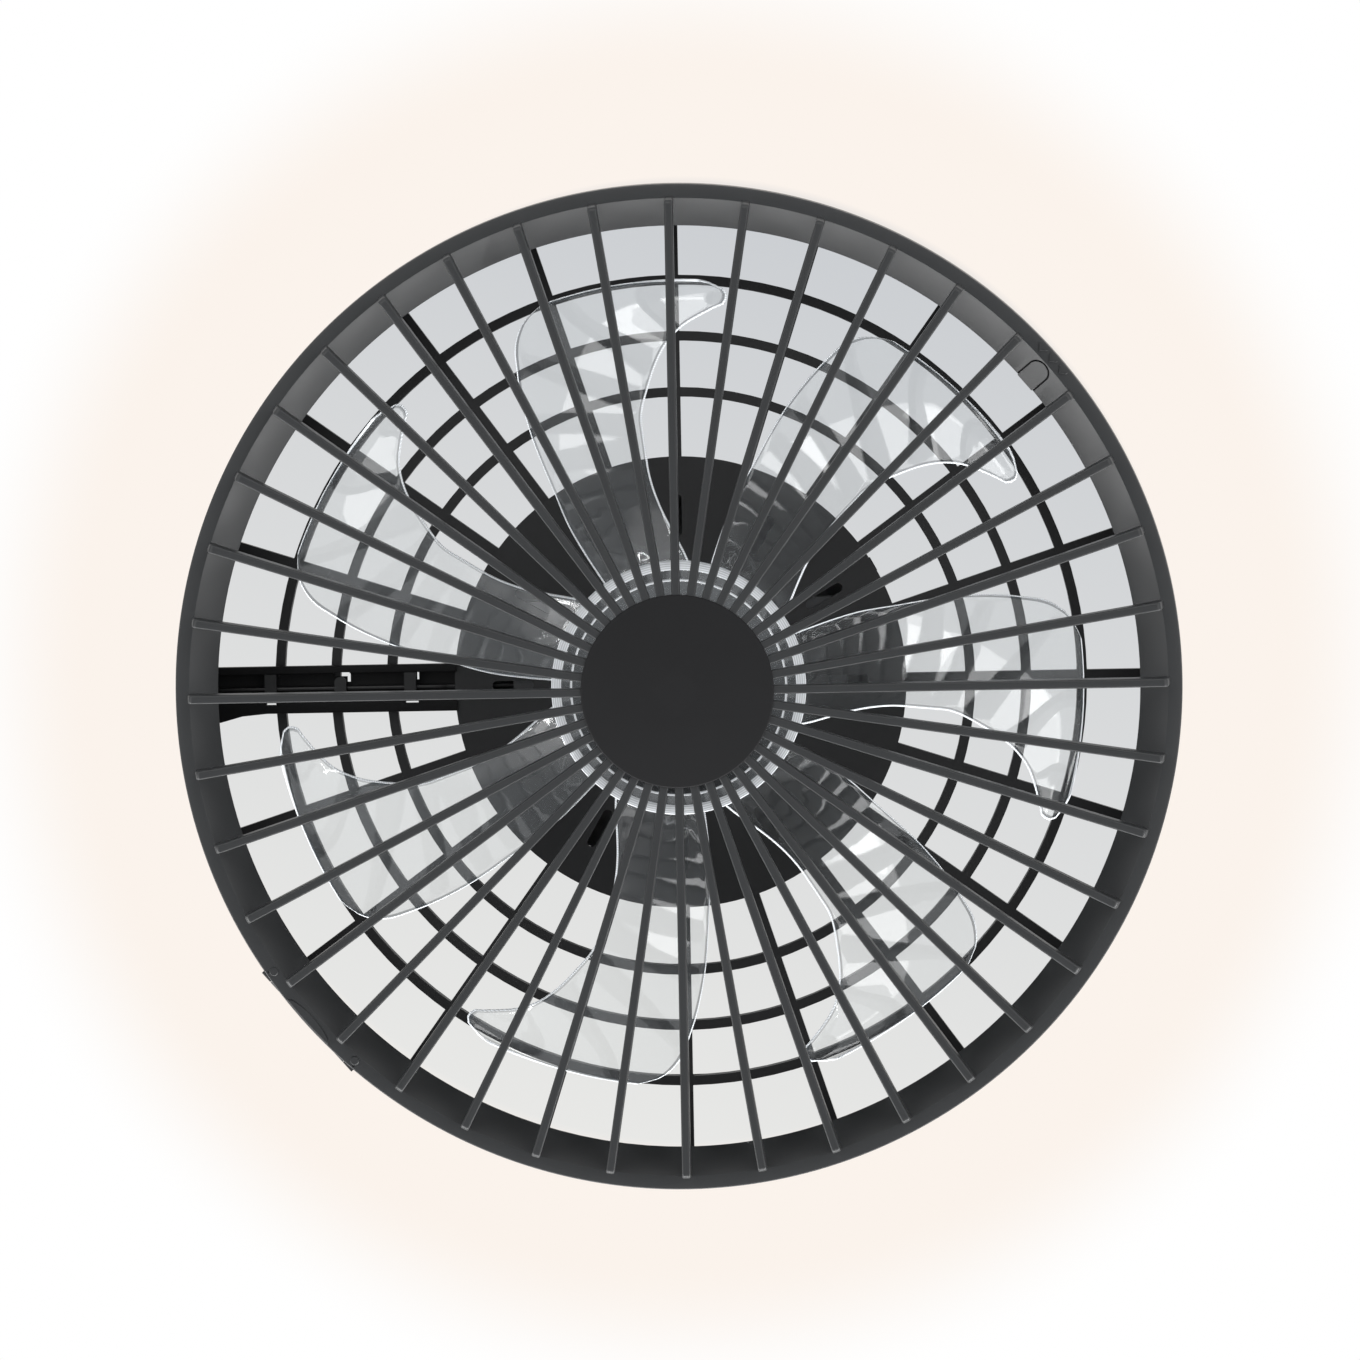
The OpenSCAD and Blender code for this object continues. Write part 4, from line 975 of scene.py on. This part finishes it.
def build_duct(d):
    """The cable duct: an open channel with one narrow and one wide rail, punched beside its clips."""
    z_tip, z_floor = Z_FLOOR - d.rail_h, Z_FLOOR - d.floor_t
    bottom, top, r_tip, r_floor = -d.lower - d.lower_w, d.upper + d.upper_w, 0.7 * MM, 0.5 * MM
    section = rounded([
        (bottom, Z_FLOOR, 0), (bottom, z_tip, r_tip), (-d.lower, z_tip, r_tip),
        (-d.lower, z_floor, r_floor), (d.upper, z_floor, r_floor), (d.upper, z_tip, r_tip),
        (top, z_tip, r_tip), (top, Z_FLOOR, 0),
    ])
    duct = moved(plate(section, d.start, d.end), ALONG_X)
    # The wide rail widens further where it meets the drum.
    flare = [
        (d.end - 45 * MM, bottom + MM), (d.end - 22 * MM, -13.4 * MM),
        (d.end - 11 * MM, -16.4 * MM), (d.end, -17 * MM), (d.end, -d.lower - MM),
    ]
    duct = combine(duct, plate(flare, z_tip, Z_FLOOR), "UNION")

    def punch(x0, x1, y0, y1):
        """A block through the whole duct."""
        return block((x0, y0, z_tip - MM), (x1, y1, Z_FLOOR + MM))

    # Openings beside the clips on the narrow rail's side: their reach from the clip, and their span across.
    openings = (
        (1.3 * MM, 3.7 * MM, 7.7 * MM),
        (1.9 * MM, 3.1 * MM, 8.2 * MM),
        (1.4 * MM, 5.7 * MM, 7.5 * MM),
    )
    middles = [d.clip_r + k * d.clip_pitch for k in range(len(openings))]
    half = d.clip_w / 2
    cuts = bmesh.new()
    for middle, (reach, near, far) in zip(middles, openings):
        pour(punch(middle - half - reach, middle - half - 0.3 * MM, near, far), cuts)
    duct = combine(duct, cuts, "DIFFERENCE")
    # Past the round end of the middle clip, and in the wide rail at the foot of each outer one.
    cuts = punch(middles[1] - half - 1.9 * MM, middles[1] + half + 0.4 * MM, 5.9 * MM, 8.2 * MM)
    for middle in (middles[0], middles[2]):
        pour(punch(middle - 4.2 * MM, middle + 2.6 * MM, -8.1 * MM, -6.9 * MM), cuts)
    return turned(combine(duct, cuts, "DIFFERENCE"), d.duct_ang)


def build_clips(d):
    """The three clips that bridge the duct. The middle one ends short, in a round finger."""
    clips, corner_r, z_clip = bmesh.new(), 0.4 * MM, Z_FLOOR - d.rail_h + 0.5 * MM
    for k, (reach, end_r) in enumerate(((d.upper, corner_r), (5.8 * MM, 2.6 * MM), (d.upper, corner_r))):
        x, half = d.clip_r + k * d.clip_pitch, d.clip_w / 2
        outline = rounded([
            (x - half, -d.lower, corner_r), (x + half, -d.lower, corner_r),
            (x + half, reach, end_r), (x - half, reach, end_r),
        ])
        clip = plate(outline, z_clip, z_clip + d.clip_t)
        pour(eased(clip, clip.edges[:], 0.3 * MM), clips)
    return turned(clips, d.duct_ang)


class FAN_OT_housing(bpy.types.Operator):
    """Finishes the drum, grille, motor plate, canopy and duct"""
    bl_idname = "fan.housing"
    bl_label = "Housing"

    def execute(self, context):
        sizes, finish = context.scene.fan_duct, context.scene.fan_finishes
        # Moulded polypropylene: a soft, slightly waxy black, duller than the guard.
        black = moulded_plastic("moulded_PP_black", finish.drum, 0.5, level=0.45)
        # Hard PVC from a matt mould: a deep, dull black. Its darker colour is partly painted shade, standing
        # in for the shade deep in the channel.
        dark = moulded_plastic("moulded_PVC_black", finish.duct, 0.6, level=0.2)
        # A smooth extruded sheath: a soft line of light along the cable.
        sheath = moulded_plastic("extruded_PVC_sheath", linear("#151515"), 0.35)
        for node in ("housing_drum", "rear_grille", "motor_plate", "canopy", "latch_keeper"):
            dress(node, black)
        place("duct", build_duct(sizes), dark, "housing", ["cable_duct"])
        place("duct_bridges", build_clips(sizes), black, "housing", ["duct_clips"])
        dress("led_cable", sheath)
        return {"FINISHED"}


def ring_outline():
    """The opal ring's section: a channel that is open to the drum and rounded on the ceiling's side.

    Its inner wall stands a little further out than the solid's.
    """
    (low, high), (node_in, r_out) = height_range("diffuser_ring"), radius_range("diffuser_ring")
    r_in, t = node_in + 2.6 * MM, 1.5 * MM
    return rounded([
        (r_out, low, 0.2 * MM), (r_out, high, 2.4 * MM), (r_in, high, 1.5 * MM), (r_in, low, 0.2 * MM),
        (r_in + t, low, 0.2 * MM), (r_in + t, high - t, 0.8 * MM), (r_out - t, high - t, 1.2 * MM),
        (r_out - t, low, 0.2 * MM),
    ])


class FAN_OT_light_ring(bpy.types.Operator):
    """Finishes the light ring on the drum's ceiling side"""
    bl_idname = "fan.light_ring"
    bl_label = "Light ring"

    def execute(self, context):
        finish = context.scene.fan_finishes
        # Opal acrylic over the light strip: milky, with a warm glow that shows no single chip.
        opal = opal_plastic("moulded_opal_acrylic", finish.opal, finish.glow, 0.35)
        # Pressed sheet aluminium: pale metal with fairly clear reflections.
        aluminium = bare_metal("pressed_aluminium", linear("#c4c6c8"), 0.3)
        # White solder mask on a circuit board: an even, slightly warm white.
        board = moulded_plastic("white_circuit_board", linear("#e9e7df"), 0.45)
        # Phosphor over the chips: yellow, and the brightest thing on the fan.
        phosphor = opal_plastic("phosphor_chips", linear("#f3d67a"), finish.glow, 3.0)
        place("opal_ring", lathe(ring_outline()), opal, "housing", ["diffuser_ring"])
        dress("led_tray", aluminium)
        dress("led_strip", board)
        dress("led_chips", phosphor)
        return {"FINISHED"}


class FAN_OT_works(bpy.types.Operator):
    """Finishes the motor, electronics, bracket and fasteners"""
    bl_idname = "fan.works"
    bl_label = "Motor and fasteners"

    def execute(self, context):
        finish = context.scene.fan_finishes
        # Zinc plating: mid-grey metal with soft, faintly cloudy reflections.
        zinc = bare_metal("zinc_plated_steel", finish.zinc, 0.38)
        # Black oxide: dark metal with a dull, oily sheen.
        oxide = bare_metal("black_oxide_steel", linear("#2a2a2b"), 0.45)
        # Enamelled copper wire: orange-red metal with a clear sheen.
        copper = bare_metal("enamelled_copper", linear("#b0622f"), 0.3)
        # Sintered ferrite: dark grey and dull, like slate.
        ferrite = moulded_plastic("sintered_ferrite", linear("#3a3a3c"), 0.6)
        # Moulded rubber: black with next to no shine.
        rubber = moulded_plastic("moulded_rubber", linear("#161616"), 0.75)
        # Moulded nylon: milky and waxy, with a broad soft shine, in white and in grey.
        white_nylon = moulded_plastic("moulded_nylon_white", linear("#dcdad2"), 0.5)
        grey_nylon = moulded_plastic("moulded_nylon_grey", linear("#4b4c4e"), 0.45)
        # Moulded polycarbonate: an even grey with a satin shine.
        polycarbonate = moulded_plastic("moulded_polycarbonate_grey", linear("#3d3e40"), 0.5)
        worn_by = (
            (zinc, ("ceiling_bracket", "hub_screws", "motor_screws", "grille_screws", "hinge_pins",
                    "hub_washer", "rotor_can", "motor_shaft", "upper_bearing", "lower_bearing",
                    "motor_stator", "motor_base")),
            (oxide, ("canopy_screws",)),
            (copper, ("motor_windings",)),
            (ferrite, ("rotor_magnets",)),
            (rubber, ("cable_grommet", "motor_dampers")),
            (white_nylon, ("terminal_block",)),
            (grey_nylon, ("hub_nut",)),
            (polycarbonate, ("led_driver", "remote_receiver")),
        )
        for material, nodes in worn_by:
            for node in nodes:
                dress(node, material)
        return {"FINISHED"}


# ---------------------------------------------------------------- stage

# Distances from the fan's axis on the ceiling, over which its shade ends and the halo round it fades.
SHADE_END = (250 * MM, 262 * MM)
HALO_END = (315 * MM, 395 * MM)
# What the lamps look at, and how far from it they stand.
LAMPS_AIM = Vector((0, 0, -0.165))
LAMPS_REACH = 2.5


def camera_matrix(at, aim):
    """A camera at a place, looking at a point, whose picture has -Y at its top."""
    ahead = (Vector(aim) - Vector(at)).normalized()
    right = ahead.cross(Vector((0, -1, 0))).normalized()
    top = right.cross(ahead)
    turn = Matrix((right, top, -ahead)).transposed().to_4x4()
    return Matrix.Translation(at) @ turn


def ceiling_paint(studio):
    """Matt white ceiling paint, in a warm ring of light round the fan and in shade behind it.

    Ring and shade are colours of the paint. No lamp casts them.
    """
    material, tree, output, at = new_material("matt_ceiling_paint")
    to_bottom = (-0.28, 0.96, 0)
    slope = add_node(tree, "ShaderNodeVectorMath", {0: at, 1: to_bottom}, operation="DOT_PRODUCT")
    across = add_node(
        tree, "ShaderNodeMapRange",
        {"Value": slope.outputs["Value"], "From Min": -FAN_R, "From Max": FAN_R},
    )
    shade = add_node(
        tree, "ShaderNodeMix",
        {0: across.outputs["Result"], 6: studio.shade_far, 7: studio.shade_near}, data_type="RGBA",
    )
    reach = add_node(tree, "ShaderNodeVectorMath", {0: at}, operation="LENGTH").outputs["Value"]
    fade = add_node(
        tree, "ShaderNodeMapRange",
        {"Value": reach, "From Min": HALO_END[0], "From Max": HALO_END[1]},
        interpolation_type="SMOOTHSTEP",
    )
    glow = add_node(
        tree, "ShaderNodeMix",
        {0: fade.outputs["Result"], 6: studio.halo, 7: (1, 1, 1, 1)}, data_type="RGBA",
    )
    rim = add_node(
        tree, "ShaderNodeMapRange",
        {"Value": reach, "From Min": SHADE_END[0], "From Max": SHADE_END[1]},
    )
    tone = add_node(
        tree, "ShaderNodeMix", {0: rim.outputs["Result"], 6: shade.outputs[2], 7: glow.outputs[2]},
        data_type="RGBA",
    )
    lit = add_node(tree, "ShaderNodeEmission", {"Color": tone.outputs[2]})
    clear = add_node(tree, "ShaderNodeBsdfTransparent")
    side = add_node(tree, "ShaderNodeNewGeometry").outputs["Backfacing"]
    both = add_node(tree, "ShaderNodeMixShader", {0: side, 1: lit.outputs[0], 2: clear.outputs[0]})
    tree.links.new(both.outputs[0], output.inputs["Surface"])
    return material


def area_lamp(name, off_axis, turn, size, power, shadow=True):
    """A soft lamp. It stands off the fan's axis by one angle, and round it by the other."""
    tilt, round_it = radians(off_axis), radians(turn)
    away = Vector((sin(tilt) * cos(round_it), -sin(tilt) * sin(round_it), -cos(tilt)))
    data = bpy.data.lights.new(name, "AREA")
    data.shape, data.size, data.size_y = "RECTANGLE", *size
    data.energy, data.use_shadow = power, shadow
    lamp = bpy.data.objects.new(name, data)
    lamp.location = LAMPS_AIM + away * LAMPS_REACH
    lamp.rotation_mode = "QUATERNION"
    lamp.rotation_quaternion = (-away).to_track_quat("-Z", "Y")
    bpy.context.scene.collection.objects.link(lamp)
    return lamp


class FAN_OT_stage(bpy.types.Operator):
    """Sets the camera, the lamps and the ceiling"""
    bl_idname = "fan.stage"
    bl_label = "Stage"

    def execute(self, context):
        scene, studio = context.scene, context.scene.fan_studio
        data = bpy.data.cameras.new("camera")
        data.lens, data.sensor_width = studio.lens, 36
        data.clip_start, data.clip_end = 0.1, 50
        camera = bpy.data.objects.new("camera", data)
        camera.matrix_world = camera_matrix(studio.camera_at, studio.aim_at)
        scene.collection.objects.link(camera)
        scene.camera = camera

        # The ceiling faces down, a little above the bracket's top, so that the two don't share a plane.
        half_side, above = 4, 0.5 * MM
        mesh = bmesh.new()
        bmesh.ops.create_grid(mesh, x_segments=1, y_segments=1, size=half_side)
        bmesh.ops.reverse_faces(mesh, faces=mesh.faces)
        bmesh.ops.translate(mesh, vec=(0, 0, above), verts=mesh.verts)
        ceiling = make_object("ceiling", mesh)
        ceiling.data.materials.append(ceiling_paint(studio))
        ceiling.visible_diffuse = False
        ceiling.visible_shadow = False

        # Three low lamps graze the guard and the impeller, and leave what is behind them dark.
        lit = bpy.data.collections.new("lit_by_the_keys")
        blades = [f"clear_{node}" for node in BLADE_NAMES]
        for piece in ("guard", "centre_disc", "latch", "clear_hub", *blades):
            lit.objects.link(bpy.data.objects[piece])
        for name, turn in (("key_left", 222), ("key_middle", 270), ("key_right", 318)):
            lamp = area_lamp(
                name, off_axis=79, turn=turn, size=(2.0, 0.9), power=studio.key_power, shadow=False,
            )
            lamp.light_linking.receiver_collection = lit
        # Four soft sheets light the whole fan from below, and mirror in its blades.
        for name, turn in (("sheet_low", 5), ("sheet_right", 58), ("sheet_top", 111), ("sheet_left", 164)):
            area_lamp(name, off_axis=50, turn=turn, size=(2.1, 1.7), power=studio.sheet_power)

        world = bpy.data.worlds.new("surroundings")
        world.use_nodes = True
        tree = world.node_tree
        tree.nodes.clear()
        output = add_node(tree, "ShaderNodeOutputWorld")
        light = add_node(tree, "ShaderNodeBackground", {"Color": studio.surroundings})
        tree.links.new(light.outputs[0], output.inputs["Surface"])
        scene.world = world
        scene.view_settings.view_transform = "Standard"
        return {"FINISHED"}


# ---------------------------------------------------------------- add-on

OPERATORS = (FAN_OT_guard, FAN_OT_impeller, FAN_OT_housing, FAN_OT_light_ring, FAN_OT_works, FAN_OT_stage)


class FAN_PT_looks(bpy.types.Panel):
    """Lists the fan's pieces and their sizes"""
    bl_idname = "FAN_PT_looks"
    bl_label = "Ceiling fan"
    bl_space_type = "VIEW_3D"
    bl_region_type = "UI"
    bl_category = "Fan"

    def draw(self, context):
        for operator in OPERATORS:
            self.layout.operator(operator.bl_idname)
        for name in GROUPS:
            group = getattr(context.scene, name)
            box = self.layout.box()
            for key in group.bl_rna.properties.keys():
                if key not in ("rna_type", "name"):
                    box.prop(group, key)


def register():
    for cls in (*GROUPS.values(), *OPERATORS, FAN_PT_looks):
        bpy.utils.register_class(cls)
    for name, cls in GROUPS.items():
        setattr(bpy.types.Scene, name, PointerProperty(type=cls))


def unregister():
    for name in GROUPS:
        delattr(bpy.types.Scene, name)
    for cls in reversed((*GROUPS.values(), *OPERATORS, FAN_PT_looks)):
        bpy.utils.unregister_class(cls)


def main():
    register()
    for name in ("guard", "impeller", "housing", "light_ring", "works", "stage"):
        getattr(bpy.ops.fan, name)()


if __name__ == "__main__":
    main()
